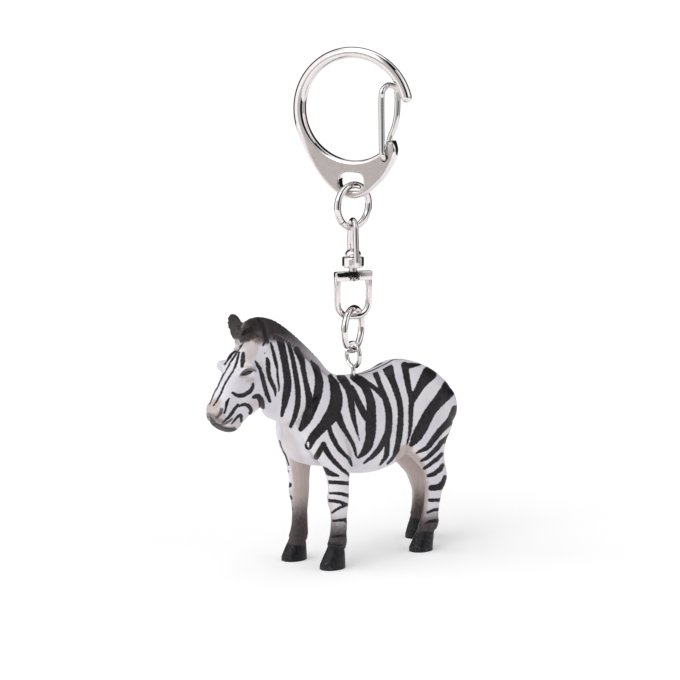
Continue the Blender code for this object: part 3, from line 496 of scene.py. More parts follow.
def section(width, height, radius, steps):
    """A rectangle with round corners, as (across, up) points."""
    points = []
    for corner, (side, rise) in enumerate(((1, 1), (-1, 1), (-1, -1), (1, -1))):
        for step in range(steps + 1):
            angle = math.radians(90 * corner + 90 * step / steps)
            points.append((side * (width / 2 - radius) + radius * math.cos(angle),
                           rise * (height / 2 - radius) + radius * math.sin(angle)))
    return points


def skin(bm, rings):
    """Join a row of closed rings with faces, and cap both ends."""
    rows = [[bm.verts.new(point) for point in ring] for ring in rings]
    faces = [bm.faces.new(rows[0]), bm.faces.new(rows[-1])]
    for low, high in zip(rows, rows[1:]):
        for i, vert in enumerate(low):
            j = (i + 1) % len(low)
            faces.append(bm.faces.new((vert, low[j], high[j], high[i])))
    bmesh.ops.recalc_face_normals(bm, faces=faces)


def loft(name, rings):
    """Skin a row of closed rings and cap both ends, as an object."""
    bm = bmesh.new()
    skin(bm, rings)
    mesh = bpy.data.meshes.new(name)
    bm.to_mesh(mesh)
    bm.free()
    thing = bpy.data.objects.new(name, mesh)
    bpy.context.scene.collection.objects.link(thing)
    return thing


def cut_or_fuse(thing, other, operation):
    """Run a boolean at once and take the tool away."""
    boolean = thing.modifiers.new("boolean", "BOOLEAN")
    boolean.operation, boolean.object, boolean.solver = operation, other, "EXACT"
    keep_result(thing)
    bpy.data.objects.remove(other, do_unlink=True)


def keep_result(thing):
    """Turn what the modifiers make into the object's own mesh."""
    graph = bpy.context.evaluated_depsgraph_get()
    made = bpy.data.meshes.new_from_object(thing.evaluated_get(graph))
    thing.modifiers.clear()
    thing.data = made


def even_shading(thing, angle=35):
    """Smooth shading that leaves flat faces flat and keeps real corners sharp."""
    for face in thing.data.polygons:
        face.use_smooth = True
    thing.data.set_sharp_from_angle(angle=math.radians(angle))
    weighted = thing.modifiers.new("weighted", "WEIGHTED_NORMAL")
    weighted.keep_sharp = True
    keep_result(thing)


def set_place(thing, turn, place=(0, 0, 0)):
    """Turn a piece that was drawn in the X-Z plane and set it at its place, in its mesh."""
    spots = turned_points([v.co for v in thing.data.vertices], turn, place)
    thing.data.vertices.foreach_set("co", np.array(spots, np.float32).ravel())
    thing.data.update()


def store(mesh, name, values):
    """Keep one number per vertex, for a material to read."""
    layer = mesh.attributes.new(name, "FLOAT", "POINT")
    layer.data.foreach_set("value", np.asarray(values, np.float32))


print("a section of 9 steps to a corner has", len(section(1, 1, 0.5, 9)), "points")

# %% Sections of the hook
SECTION_STEPS, NEARLY_HALF = 9, 0.499


def hook_ring(angle, shrink=1.0):
    """One section of the hook, in the X-Z plane."""
    if angle <= PLATE_ANGLE:
        thick = NOSE_WIRE + (RING_WIRE - NOSE_WIRE) * max(0, (angle - 90) / (PLATE_ANGLE - 90))
        inner, outer, corner = RING_OUTER - thick, RING_OUTER, thick / 2
    else:
        flat = min(1, (angle - PLATE_ANGLE) / PLATE_BLEND)
        inner = RING_INNER * (1 - float(np.interp(angle, *EAR_INNER_SHARES.T)))
        outer = RING_OUTER + PLATE_DROP * float(np.interp(angle, *PLATE_EDGE_SHARES.T))
        thick = RING_WIRE + (PLATE_THICK - RING_WIRE) * flat
        corner = RING_WIRE / 2 + (PLATE_EDGE - RING_WIRE / 2) * flat
        corner = min(corner, (outer - inner) * NEARLY_HALF, thick * NEARLY_HALF)
    turn = math.radians(angle)
    ring = []
    for across, up in section((outer - inner) * shrink, thick * shrink, corner * shrink, SECTION_STEPS):
        radius = (inner + outer) / 2 + across
        ring.append((radius * math.cos(turn), up, RING_CENTRE + radius * math.sin(turn)))
    return ring


# The nose is closed by a round cap, and the sections stand closer where the ear is shaped
NOSE_CAP, CAP_STEPS, EAR_SPAN = 6.5, (88, 75, 62, 48, 34, 20, 8), 10
ears = [EAR_ANGLE - EAR_SPAN + 0.5 * i for i in range(2 * EAR_SPAN + 1)]
angles = [NOSE_ANGLE + 2 * i for i in range(int((EAR_ANGLE - EAR_SPAN - NOSE_ANGLE) / 2))] + ears
cap = [hook_ring(NOSE_ANGLE - NOSE_CAP * math.sin(math.radians(a)), math.cos(math.radians(a)))
       for a in CAP_STEPS]
hook = loft("clasp_hook_cast", cap + [hook_ring(a) for a in angles])
print("sections of the hook:", len(cap) + len(angles))

# %% The hook's slot and bore
face, hole_middle = PLATE_THICK / 2, PLATE_TIP + LIP + HOLE_HEIGHT / 2
HOLE_FLARE, HOLE_CORNER = 2.2, 0.42
profile = [(face + HOLE_EDGE, HOLE_EDGE * HOLE_FLARE)]
for a in (90, 72, 54, 36, 18, 0):
    turn = math.radians(a)
    profile.append((face - HOLE_EDGE + HOLE_EDGE * math.sin(turn), HOLE_EDGE * (1 - math.cos(turn))))
profile += [(-depth, flare) for depth, flare in reversed(profile)]
rows = []
for depth, flare in profile:
    outline = section(HOLE_WIDTH + 2 * flare, HOLE_HEIGHT + 2 * flare, HOLE_HEIGHT * HOLE_CORNER + flare, 10)
    rows.append([(across, depth, hole_middle + up) for across, up in outline])
cut_or_fuse(hook, loft("slot", rows), "DIFFERENCE")
PIVOT_ANGLE, PIVOT_INSET, GATE_WIRE, FIT = math.radians(307.5), 1.8 * MM, 1.45 * MM, 0.3 * MM
pivot = Vector((math.cos(PIVOT_ANGLE), 0, math.sin(PIVOT_ANGLE))) * (RING_INNER + PIVOT_INSET)
pivot.z += RING_CENTRE
bore = [[(pivot.x + (GATE_WIRE / 2 + FIT) * math.cos(t), y, pivot.z + (GATE_WIRE / 2 + FIT) * math.sin(t))
         for t in np.linspace(0, 2 * math.pi, 32, endpoint=False)] for y in (-face * 2, face * 2)]
cut_or_fuse(hook, loft("bore", bore), "DIFFERENCE")
print("gate's pivot, mm:", [round(v / MM, 2) for v in pivot])

# %% The hook's satin face
SATIN_FROM, SATIN_FULL, SATIN_STILL, SATIN_END = 200, 225, 312, 318
points = np.array([v.co for v in hook.data.vertices])
degrees = np.degrees(np.arctan2(points[:, 2] - RING_CENTRE, points[:, 0])) % 360
on_face = np.abs(points[:, 1]) > face - 0.03 * MM
satin = on_face * np.clip((degrees - SATIN_FROM) / (SATIN_FULL - SATIN_FROM), 0, 1)
satin = satin * np.clip((SATIN_END - degrees) / (SATIN_END - SATIN_STILL), 0, 1)
even_shading(hook)
set_place(hook, CLASP_TURN)
store(hook.data, "satin", satin)
hook.data.materials.clear()
hook.data.materials.append(cast_nickel)
dress(hook, "hook", "clasp_hook")

# %% [markdown]
# ## The gate
# The gate is one length of spring wire. Its two legs stand beside the plate, its ends turn in and sit
# in the ear's bore, and the bend at its top closes under the nose. The path is a smooth curve through
# a few points, given as shares of the gate's reach.

# %% The gate
GATE_PLAY, GATE_PEG = 0.84 * MM, 1.1 * MM
GATE_FRONT = [(0.000, 0.055), (-0.012, 0.13), (-0.017, 0.45), (-0.020, 0.80), (-0.008, 0.93)]
GATE_TOP = [(0.015, 0.985, -0.45), (0.035, 1.0, 0.0), (0.075, 0.98, 0.50)]
GATE_BACK = [(0.105, 0.92), (0.110, 0.65), (0.075, 0.43), (0.012, 0.27), (-0.012, 0.15), (0.0, 0.055)]
pivot_spot, top = Vector((pivot.x, pivot.z - RING_CENTRE)), Vector(GATE_TOP[1][:2])
run, limit = pivot_spot.dot(top), RING_OUTER - NOSE_WIRE - GATE_PLAY - GATE_WIRE / 2
root = math.sqrt(run * run - top.dot(top) * (pivot_spot.dot(pivot_spot) - limit ** 2))
reach = (root - run) / top.dot(top)
side, heel = face + FIT + GATE_WIRE / 2, GATE_WIRE / 2
path = smooth_path([(x * reach, -side, z * reach) for x, z in GATE_FRONT]
                   + [(x * reach, y * side, z * reach) for x, z, y in GATE_TOP]
                   + [(x * reach, side, z * reach) for x, z in GATE_BACK], 10)
leg_end = [(0, -face + GATE_PEG, 0), (0, heel - side, 0), (0, heel * 0.55 - side, heel * 0.1),
           (0, heel * 0.2 - side, heel * 0.4)]
path = leg_end + path + [(x, -y, z) for x, y, z in reversed(leg_end)]
pivot_place = turned_points([pivot], CLASP_TURN, (0, 0, 0))[0]
gate = wire("clasp_gate_wire", turned_points(path, CLASP_TURN, pivot_place), GATE_WIRE, steel)
dress(gate, "gate", "clasp_gate")
print("gate reach, mm:", round(reach / MM, 2))

# %% [markdown]
# ## Jump rings
# A jump ring is cut from a coil of wire, so its two ends meet in a butt joint with a hair's gap, and on
# a cheap chain one end often stands a little proud, as it does on the lower ring here. A torus has no
# joint, so each ring is wire along an open path. The upper ring is raised by a hair to clear the slot.

# %% Jump rings
LINK_WIRE, LINK_HEIGHT, LINK_GAP, LINK_SPLIT = 1.75 * MM, 12.3 * MM, 0.25 * MM, 222
link_radius = (LINK_HEIGHT - LINK_WIRE) / 2
PROUD_SPAN, RING_STEPS, RING_ENDS = 24, 121, (0.86, 0.97)


def jump_ring(name, node, body, turn, proud, raised):
    """A ring of wire, raised by a length, whose first degrees stand proud by another length."""
    lo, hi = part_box(node)
    middle = (lo + hi) / 2
    gap = math.degrees(LINK_GAP / link_radius)
    points = []
    for angle in np.linspace(LINK_SPLIT + gap / 2, LINK_SPLIT + 360 - gap / 2, RING_STEPS):
        lift = proud * max(0, 1 - (angle - LINK_SPLIT) / PROUD_SPAN) ** 2
        t = math.radians(angle)
        points.append(((link_radius + lift) * math.cos(t), 0, (link_radius + lift) * math.sin(t)))
    path = turned_points(points, turn, (0, 0, middle.z + raised))
    dress(wire(name, path, LINK_WIRE, nickel, ends=RING_ENDS), body, node)


jump_ring("upper_jump_ring_wire", "upper_jump_ring", "upper_ring", 5, 0, 0.07 * MM)
jump_ring("lower_jump_ring_wire", "lower_jump_ring", "lower_ring", 28, 0.35 * MM, 0)

# %% [markdown]
# ## The screw eye
# A screw eye is wire bent into a loop that closes above a threaded shank, turned into the figure's
# back. Its thread is a second Geometry Nodes tree: a spiral curve swept with a small triangle and fused
# to the shank. A bump map would be lighter, but it leaves the outline smooth.

# %% The eye's wire
EYE_WIRE, EYE_WIDE, EYE_TALL = 1.2 * MM, 6.4 * MM, 7.3 * MM
NECK, SHANK, EYE_TURN = 1.2 * MM, 9.0 * MM, -90
eye_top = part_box("screw_eye")[1].z - EYE_WIRE / 2
tall, wide = (EYE_TALL - EYE_WIRE) / 2, (EYE_WIDE - EYE_WIRE) / 2
neck = -2 * tall
loop = [(wide * math.cos(math.radians(a)), 0, tall * math.sin(math.radians(a)) - tall)
        for a in range(-62, 241, 4)]
into_neck = smooth_path([loop[-3], loop[-1], (-EYE_WIRE / 3, 0, neck + EYE_WIRE / 8),
                         (0, 0, neck - EYE_WIRE / 2), (0, 0, neck - EYE_WIRE / 2 - NECK)], 5)
tip = neck - EYE_WIRE / 2 - NECK - SHANK
path = loop[:-3] + into_neck + [(0, 0, tip + EYE_WIRE), (0, 0, tip + EYE_WIRE * 0.4), (0, 0, tip)]
screw_eye = wire("screw_eye_wire", turned_points(path, EYE_TURN, (0, 0, eye_top)), EYE_WIRE, steel,
                 ends=(0.8, 1.0))
print("the eye's path:", len(path), "points")

# %% The eye's thread
THREAD_LENGTH, THREAD_PITCH, THREAD_DEPTH, THREAD_STEPS = 8.0 * MM, 0.6 * MM, 0.14 * MM, 20
thread_tree, given, result = geometry_tree("screw_thread", {
    "Radius": float, "Length": float, "Turns": float, "Depth": float, "Finish": bpy.types.Material})
helix = add(thread_tree, "GeometryNodeCurveSpiral", {
    "Resolution": THREAD_STEPS, "Rotations": given["Turns"], "Start Radius": given["Radius"],
    "End Radius": given["Radius"], "Height": given["Length"]})
ridge = add(thread_tree, "GeometryNodeCurvePrimitiveCircle", {"Resolution": 3, "Radius": given["Depth"]},
            mode="RADIUS")
swept = add(thread_tree, "GeometryNodeCurveToMesh", {
    "Curve": helix.outputs[0], "Profile Curve": ridge.outputs[0], "Fill Caps": True})
finish_tree(thread_tree, swept.outputs[0], given["Finish"], result)
blank = bpy.data.objects.new("thread_base", bpy.data.meshes.new("thread_base"))
bpy.context.scene.collection.objects.link(blank)
thread = grow(blank, thread_tree, {"Radius": EYE_WIRE / 2, "Length": THREAD_LENGTH, "Depth": THREAD_DEPTH,
                                   "Turns": THREAD_LENGTH / THREAD_PITCH, "Finish": steel}, "thread")
set_place(thread, 0, (0, 0, eye_top + tip + EYE_WIRE / 2))
cut_or_fuse(screw_eye, thread, "UNION")
even_shading(screw_eye, 50)
dress(screw_eye, "figure", "screw_eye")

# %% [markdown]
# ## The swivel's eye
# The swivel lets the figure turn without twisting the chain. Its eye is a loop cast on a round disc.
# The disc is a profile spun about the upright axis, which gives its round edges in one step, and the
# loop is the wire tree again, fused to it as the casting is one piece.

# %% Turned solids


def spun(profile, steps=64):
    """The rings of a turned solid: each (radius, height) of the profile, spun about Z."""
    turns = np.linspace(0, 2 * math.pi, steps, endpoint=False)
    return [[(r * math.cos(t), r * math.sin(t), z) for t in turns] for r, z in profile]


def ring_solid(name, profile, steps=64):
    """Spin a closed profile that doesn't touch the axis, such as a washer."""
    rings = spun(profile, steps)
    verts = [p for ring in rings for p in ring]
    count = len(rings)
    faces = [(r * steps + i, r * steps + (i + 1) % steps, (r + 1) % count * steps + (i + 1) % steps,
              (r + 1) % count * steps + i) for r in range(count) for i in range(steps)]
    thing = mesh_piece(name, verts, faces)
    bm = bmesh.new()
    bm.from_mesh(thing.data)
    bmesh.ops.recalc_face_normals(bm, faces=bm.faces)
    bm.to_mesh(thing.data)
    bm.free()
    return thing


def rounded(corners, radius, steps=5):
    """A closed profile with each corner turned into an arc."""
    points = []
    for i, here in enumerate(corners):
        here = Vector(here)
        before, after = Vector(corners[i - 1]) - here, Vector(corners[(i + 1) % len(corners)]) - here
        a, b = here + before.normalized() * radius, here + after.normalized() * radius
        for step in range(steps + 1):
            t = step / steps
            points.append(tuple(a * (1 - t) ** 2 + here * (2 * t * (1 - t)) + b * t ** 2))
    return points


SWIVEL_WIRE, THROAT, DISC_RADIUS, DISC_HIGH, DISC_EDGE = 1.4 * MM, 3.2 * MM, 2.75 * MM, 2.6 * MM, 0.45 * MM
RIVET_SHANK, RIVET_HEAD, HEAD_HIGH, RIVET_TAIL, TAIL_HIGH = 1.9 * MM, 4.0 * MM, 1.7 * MM, 3.0 * MM, 0.6 * MM
SWIVEL_TURN, SHACKLE_TURN = 68, -20
disc = [(RIVET_SHANK / 2 + FIT, 0), (DISC_RADIUS, 0), (DISC_RADIUS, DISC_HIGH),
        (RIVET_SHANK / 2 + FIT, DISC_HIGH)]
swivel_eye = ring_solid("swivel_eye_cast", rounded(disc, DISC_EDGE))
print("disc:", len(swivel_eye.data.polygons), "faces")

# %% The swivel's loop
swivel_low, swivel_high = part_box("swivel_eye")
crown = swivel_high.z - swivel_low.z - SWIVEL_WIRE / 2
throat = (THROAT + SWIVEL_WIRE) / 2
stand = max(RIVET_HEAD / 2 + FIT, DISC_RADIUS - SWIVEL_WIRE / 4) + SWIVEL_WIRE / 2
leg = [(stand, 0, SWIVEL_WIRE / 4), (stand, 0, DISC_HIGH),
       ((stand + throat) / 2, 0, (DISC_HIGH + crown - throat) / 2)]
arch = [(throat * math.cos(math.radians(a)), 0, crown - throat + throat * math.sin(math.radians(a)))
        for a in range(0, 181, 20)]
loop = smooth_path(leg + arch + [(-x, y, z) for x, y, z in reversed(leg)], 6)
cut_or_fuse(swivel_eye, wire("eye_loop", [Vector(p) for p in loop], SWIVEL_WIRE, nickel), "UNION")
even_shading(swivel_eye)
swivel_eye.data.materials.clear()
swivel_eye.data.materials.append(nickel)
set_place(swivel_eye, SWIVEL_TURN, (0, 0, swivel_low.z))
dress(swivel_eye, "swivel_top", "swivel_eye")

# %% [markdown]
# ## The rivet
# The rivet has a domed head above the disc and a tail that is hammered flat under the shackle's bar.
# It is turned from rod, so it is one profile from the dome's top to the tail, spun and capped.

# %% The rivet
rivet_low, rivet_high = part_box("swivel_rivet")
dome_wide, shank, rivet_tall = RIVET_HEAD / 2, RIVET_SHANK / 2, rivet_high.z - rivet_low.z
DOME_SHARE, DOME_STEPS = 0.8, (89.5, 80, 68, 56, 44, 32, 20, 8)
dome = [(dome_wide * math.cos(math.radians(a)),
         rivet_tall - HEAD_HIGH * DOME_SHARE * (1 - math.sin(math.radians(a)))) for a in DOME_STEPS]
profile = dome + [(dome_wide, rivet_tall - HEAD_HIGH * 0.9), (dome_wide * 0.95, rivet_tall - HEAD_HIGH),
                  (shank, rivet_tall - HEAD_HIGH), (shank, TAIL_HIGH), (RIVET_TAIL / 2, TAIL_HIGH),
                  (RIVET_TAIL / 2, TAIL_HIGH * 0.3), (RIVET_TAIL * 0.42, 0)]
rivet = loft("swivel_rivet_turned", spun(profile))
rivet.data.materials.append(nickel)
even_shading(rivet)
set_place(rivet, 0, (0, 0, rivet_low.z))
dress(rivet, "shackle", "swivel_rivet")

# %% [markdown]
# ## The shackle
# The shackle is a square bar on top of a round bow, cast in one. The bar is a loft with its edges
# chamfered by the rings themselves, and its outline is cut fine enough to crown its long sides a
# little. The bow is wire, and two drilled holes let the rivet's shank and its tail through.

# %% The shackle's bar
BAR, BAR_EDGE, BAR_CORNER = (9.7 * MM, 2.6 * MM, 2.4 * MM), 0.4 * MM, 0.5 * MM
BAR_STEP, BAR_CROWN = 0.4 * MM, 0.24
shackle_low, shackle_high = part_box("swivel_shackle")
corners = section(BAR[0], BAR[1], BAR_CORNER, 5)
outline = []
for (x0, y0), (x1, y1) in zip(corners, corners[1:] + corners[:1]):
    cuts = max(1, round(math.hypot(x1 - x0, y1 - y0) / BAR_STEP))
    outline += [(x0 + (x1 - x0) * i / cuts, y0 + (y1 - y0) * i / cuts) for i in range(cuts)]
outline = [(x, y * (1 - BAR_CROWN * (2 * x / BAR[0]) ** 2)) for x, y in outline]
rows = []
for rise, shrink in [(0, BAR_EDGE), (BAR_EDGE * 0.08, BAR_EDGE * 0.6), (BAR_EDGE * 0.4, BAR_EDGE * 0.15),
                     (BAR_EDGE, 0)]:
    rows.append([(x - math.copysign(shrink, x), y - math.copysign(shrink, y), rise - BAR[2])
                 for x, y in outline])
rows += [[(x, y, -BAR[2] - z) for x, y, z in row] for row in reversed(rows)]
shackle = loft("swivel_shackle_cast", rows)
print("bar:", len(shackle.data.polygons), "faces")

# %% The shackle's bow and holes
BOW_WIRE, BOW_WIDE, BOW_CORNER = 1.65 * MM, 9.9 * MM, 3.3 * MM
half_bow, bottom = (BOW_WIDE - BOW_WIRE) / 2, shackle_low.z - shackle_high.z + BOW_WIRE / 2
bow = [(half_bow, 0, -BAR[2] / 2), (half_bow, 0, bottom + BOW_CORNER * 1.5)]
bow += [(half_bow - BOW_CORNER + BOW_CORNER * math.cos(math.radians(a)), 0,
         bottom + BOW_CORNER - BOW_CORNER * math.sin(math.radians(a))) for a in range(0, 91, 9)]
bow += [(-x, y, z) for x, y, z in reversed(bow)]
cut_or_fuse(shackle, wire("bow", [Vector(p) for p in bow], BOW_WIRE, nickel), "UNION")
for radius, top in ((RIVET_SHANK / 2 + FIT, BAR[2]), (RIVET_TAIL / 2 + FIT, TAIL_HIGH + FIT - BAR[2])):
    drill = loft("drill", spun([(radius, -BAR[2] * 2), (radius, top)]))
    cut_or_fuse(shackle, drill, "DIFFERENCE")
even_shading(shackle)
set_place(shackle, SHACKLE_TURN, (0, 0, shackle_high.z))
shackle.data.materials.clear()
shackle.data.materials.append(nickel)
dress(shackle, "shackle", "swivel_shackle")

# %% [markdown]
# ## The zebra's form
# The toy is one moulding in soft plastic, so it has no seams between body, neck, head and legs. A
# sculptor would block it out in lumps and smooth them together. The script does the same: each part of
# the animal is a loft with smooth sections at the CAD's own measures, a voxel remesh melts them into
# one skin, and the fine forms are then pressed into that skin with small strokes.

# %% Sizes of the figure, as in the CAD
BACK_HIGH, BODY_LONG, CHEST_AHEAD, BODY_HALF = 46.9 * MM, 53.2 * MM, 22.4 * MM, 8.7 * MM
NECK_REACH, NECK_RISE, WITHERS_BACK = 30.7 * MM, 14.8 * MM, 18.4 * MM
HEAD_LONG, HEAD_DEEP, HEAD_HALF, HEAD_PITCH, HEAD_YAW = 23.9 * MM, 13.4 * MM, 4.8 * MM, 49, 14
EAR_HIGH, EAR_WIDE, LEG_WIDE, BROW = 7.6 * MM, 4.3 * MM, 4.4 * MM, 1.6 * MM
MANE_WIDE, MANE_HIGH, TAIL_WIDE = 2.4 * MM, 3.4 * MM, 2.2 * MM
SOLE = Vector((0, 0, SOLE_Z))
# Torso: along from the chest, top, bottom, half width
TORSO = [
    (0.008, 0.790, 0.690, 0.15), (0.030, 0.860, 0.627, 0.34), (0.075, 0.942, 0.580, 0.62),
    (0.139, 0.996, 0.550, 0.78), (0.233, 1.012, 0.525, 0.87), (0.327, 1.006, 0.487, 0.92),
    (0.421, 0.996, 0.459, 0.98), (0.515, 0.999, 0.454, 1.00), (0.609, 1.025, 0.473, 1.00),
    (0.684, 1.044, 0.512, 0.98), (0.769, 1.028, 0.554, 0.97), (0.853, 0.988, 0.597, 0.94),
    (0.915, 0.936, 0.622, 0.87), (0.959, 0.886, 0.646, 0.75), (0.985, 0.844, 0.674, 0.55),
    (1.000, 0.802, 0.716, 0.30)]
# Neck: crest ahead and up from the withers, throat ahead and up, half width
NECK_ROWS = [
    (0.00, -0.05, 0.38, -1.18, 0.78), (0.14, 0.04, 0.47, -0.87, 0.72), (0.26, 0.22, 0.555, -0.70, 0.64),
    (0.39, 0.43, 0.635, -0.58, 0.56), (0.52, 0.66, 0.71, -0.49, 0.50), (0.67, 0.86, 0.775, -0.39, 0.47),
    (0.80, 0.97, 0.85, -0.21, 0.46), (0.91, 0.96, 0.94, 0.00, 0.43), (0.98, 0.80, 1.00, 0.17, 0.32)]
# Head: down from the poll, nose line, jaw line, half width, roundness of the section
HEAD_ROWS = [
    (0.00, 0.00, 0.66, 0.66, 0.9), (0.10, -0.04, 0.88, 0.82, 0.85), (0.20, -0.03, 1.02, 0.93, 0.75),
    (0.30, -0.01, 1.08, 1.00, 0.68), (0.40, 0.00, 1.07, 1.00, 0.66), (0.50, 0.01, 1.05, 0.88, 0.70),
    (0.61, 0.02, 0.98, 0.82, 0.72), (0.71, 0.03, 0.86, 0.78, 0.70), (0.80, 0.03, 0.80, 0.73, 0.74),
    (0.88, 0.01, 0.80, 0.70, 0.82), (0.945, 0.04, 0.73, 0.60, 0.9), (0.985, 0.13, 0.60, 0.47, 0.95),
    (1.00, 0.23, 0.50, 0.31, 1.0)]
# Legs: up, along from the chest, across, half length and half width in leg widths
FORELEG = [
    (0.02, 0.203, 0.75, 0.80, 0.62), (0.077, 0.216, 0.75, 0.62, 0.54), (0.098, 0.222, 0.75, 0.56, 0.48),
    (0.141, 0.233, 0.75, 0.57, 0.49), (0.183, 0.237, 0.75, 0.49, 0.44), (0.256, 0.240, 0.75, 0.465, 0.43),
    (0.316, 0.240, 0.75, 0.52, 0.50), (0.375, 0.237, 0.75, 0.625, 0.57), (0.426, 0.239, 0.75, 0.61, 0.55),
    (0.490, 0.235, 0.75, 0.68, 0.60), (0.565, 0.222, 0.74, 0.89, 0.73), (0.640, 0.195, 0.67, 1.18, 0.76),
    (0.746, 0.170, 0.59, 1.42, 0.70), (0.853, 0.162, 0.54, 1.15, 0.60), (0.938, 0.168, 0.47, 0.80, 0.45)]
HINDLEG = [
    (0.02, 0.745, 0.71, 0.75, 0.61), (0.073, 0.762, 0.71, 0.625, 0.535), (0.094, 0.770, 0.71, 0.57, 0.49),
    (0.141, 0.791, 0.71, 0.59, 0.50), (0.192, 0.801, 0.71, 0.50, 0.455), (0.267, 0.814, 0.71, 0.48, 0.445),
    (0.330, 0.825, 0.71, 0.545, 0.49), (0.390, 0.840, 0.71, 0.67, 0.52), (0.448, 0.821, 0.70, 0.80, 0.59),
    (0.512, 0.790, 0.69, 1.08, 0.68), (0.586, 0.763, 0.65, 1.62, 0.77), (0.672, 0.760, 0.60, 2.22, 0.88),
    (0.768, 0.757, 0.56, 2.28, 0.90), (0.874, 0.765, 0.50, 1.85, 0.80), (0.960, 0.769, 0.42, 1.12, 0.55)]
# How far a far leg stands behind its near twin, by height up the leg
SQUARE = [(0, 0), (1, 0)]
FAR_FORE = [(0, -0.042), (0.48, -0.045), (0.8, 0)]
FAR_HIND = [(0, 0.157), (0.14, 0.130), (0.27, 0.105), (0.35, 0.070), (0.39, 0.038), (0.45, 0.012), (0.8, 0)]
LEGS = [(FORELEG, -1, SQUARE, 0.0), (FORELEG, 1, FAR_FORE, 0.02), (HINDLEG, -1, SQUARE, 0.0),
        (HINDLEG, 1, FAR_HIND, 0.10)]
# Ears: side, foot down the head, foot in from the nose line, foot out; lean ahead and out
EARS = [(-1, 0.08, 0.20, 0.72, 0.06, 0.06), (1, 0.11, 0.09, 0.46, 0.19, 0.17)]
# Ear: height, half width and half depth. Mane: ahead and up from the withers, height
EAR_OUTLINE = [
    (0.0, 0.66, 0.60), (0.2, 0.93, 0.62), (0.45, 1.02, 0.56), (0.7, 0.97, 0.48), (0.88, 0.75, 0.38),
    (0.96, 0.50, 0.30), (1.0, 0.24, 0.2)]
MANE_ROWS = [
    (0.03, -0.06, 0.55), (0.16, 0.06, 0.80), (0.30, 0.34, 0.95), (0.50, 0.71, 1.00), (0.68, 0.97, 1.10),
    (0.82, 1.06, 1.20), (0.92, 1.03, 1.25), (0.965, 0.93, 1.00), (0.985, 0.81, 0.60)]
# Tail: along from the chest, height, across, half width
TAIL_ROWS = [
    (0.925, 0.905, 0.00, 0.55), (0.972, 0.865, 0.00, 0.50), (0.998, 0.800, 0.00, 0.47),
    (1.000, 0.725, 0.00, 0.45), (0.972, 0.650, 0.03, 0.46), (0.948, 0.570, 0.10, 0.52),
    (0.932, 0.490, 0.15, 0.52), (0.926, 0.415, 0.18, 0.46), (0.924, 0.355, 0.19, 0.18)]
print("rows of the body's tables:", sum(map(len, (TORSO, NECK_ROWS, HEAD_ROWS, FORELEG, HINDLEG, TAIL_ROWS))))

# %% Places on the figure


def oval(centre, across, up, sides=48, roundness=1.0):
    """A closed ring round a centre over the soles. A roundness under 1 squares it."""
    ring = []
    for angle in np.linspace(0, 2 * math.pi, sides, endpoint=False):
        c, s = math.cos(angle), math.sin(angle)
        ring.append(SOLE + centre + across * math.copysign(abs(c) ** roundness, c)
                    + up * math.copysign(abs(s) ** roundness, s))
    return ring


def neck_point(ahead, up):
    """A place on the middle plane of the neck, ahead of and up from the withers."""
    return Vector((WITHERS_BACK - CHEST_AHEAD - ahead * NECK_REACH, 0, BACK_HIGH + up * NECK_RISE))


pitch, yaw = math.radians(HEAD_PITCH), math.radians(HEAD_YAW)
ahead_way = Vector((-math.cos(yaw), -math.sin(yaw), 0))
nose_way = ahead_way * math.cos(pitch) - Vector((0, 0, math.sin(pitch)))
jaw_way = -ahead_way * math.sin(pitch) - Vector((0, 0, math.cos(pitch)))
cheek_way = Vector((-math.sin(yaw), math.cos(yaw), 0))
poll = neck_point(1.005, 0.70) - nose_way * (HEAD_LONG * 0.2)


def head_point(down, inset, out):
    """A place on the head, in its own measures: down the nose, in to the jaw, out to the right cheek."""
    across = cheek_way * (out * HEAD_HALF)
    return poll + nose_way * (down * HEAD_LONG) + jaw_way * (inset * HEAD_DEEP) + across


def stance_shift(stance, up):
    """How far a far leg stands behind its twin, at a height given as a share of the back's."""
    return float(np.interp(up, *np.array(stance, float).T)) * BODY_LONG


print("poll, mm:", [round(v / MM, 1) for v in poll])

# %% Lofts of the body, neck and head
LOFT_STEPS = 4
clay = bmesh.new()
skin(clay, [oval(Vector((along * BODY_LONG - CHEST_AHEAD, 0, (top + low) / 2 * BACK_HIGH)),
                 Vector((0, width * BODY_HALF, 0)), Vector((0, 0, (top - low) / 2 * BACK_HIGH)), 64, 0.9)
            for along, top, low, width in smooth_path(TORSO, LOFT_STEPS)])
skin(clay, [oval((neck_point(a, u) + neck_point(b, d)) / 2, Vector((0, width * BODY_HALF, 0)),
                 (neck_point(a, u) - neck_point(b, d)) / 2, 48, 0.92)
            for a, u, b, d, width in smooth_path(NECK_ROWS, LOFT_STEPS)])
skin(clay, [oval(head_point(down, (nose + jaw) / 2, 0), cheek_way * (width * HEAD_HALF),
                 jaw_way * ((nose - jaw) / 2 * HEAD_DEEP), 64, roundness)
            for down, nose, jaw, width, roundness in smooth_path(HEAD_ROWS, LOFT_STEPS)])
print("body, neck and head:", len(clay.verts), "points")

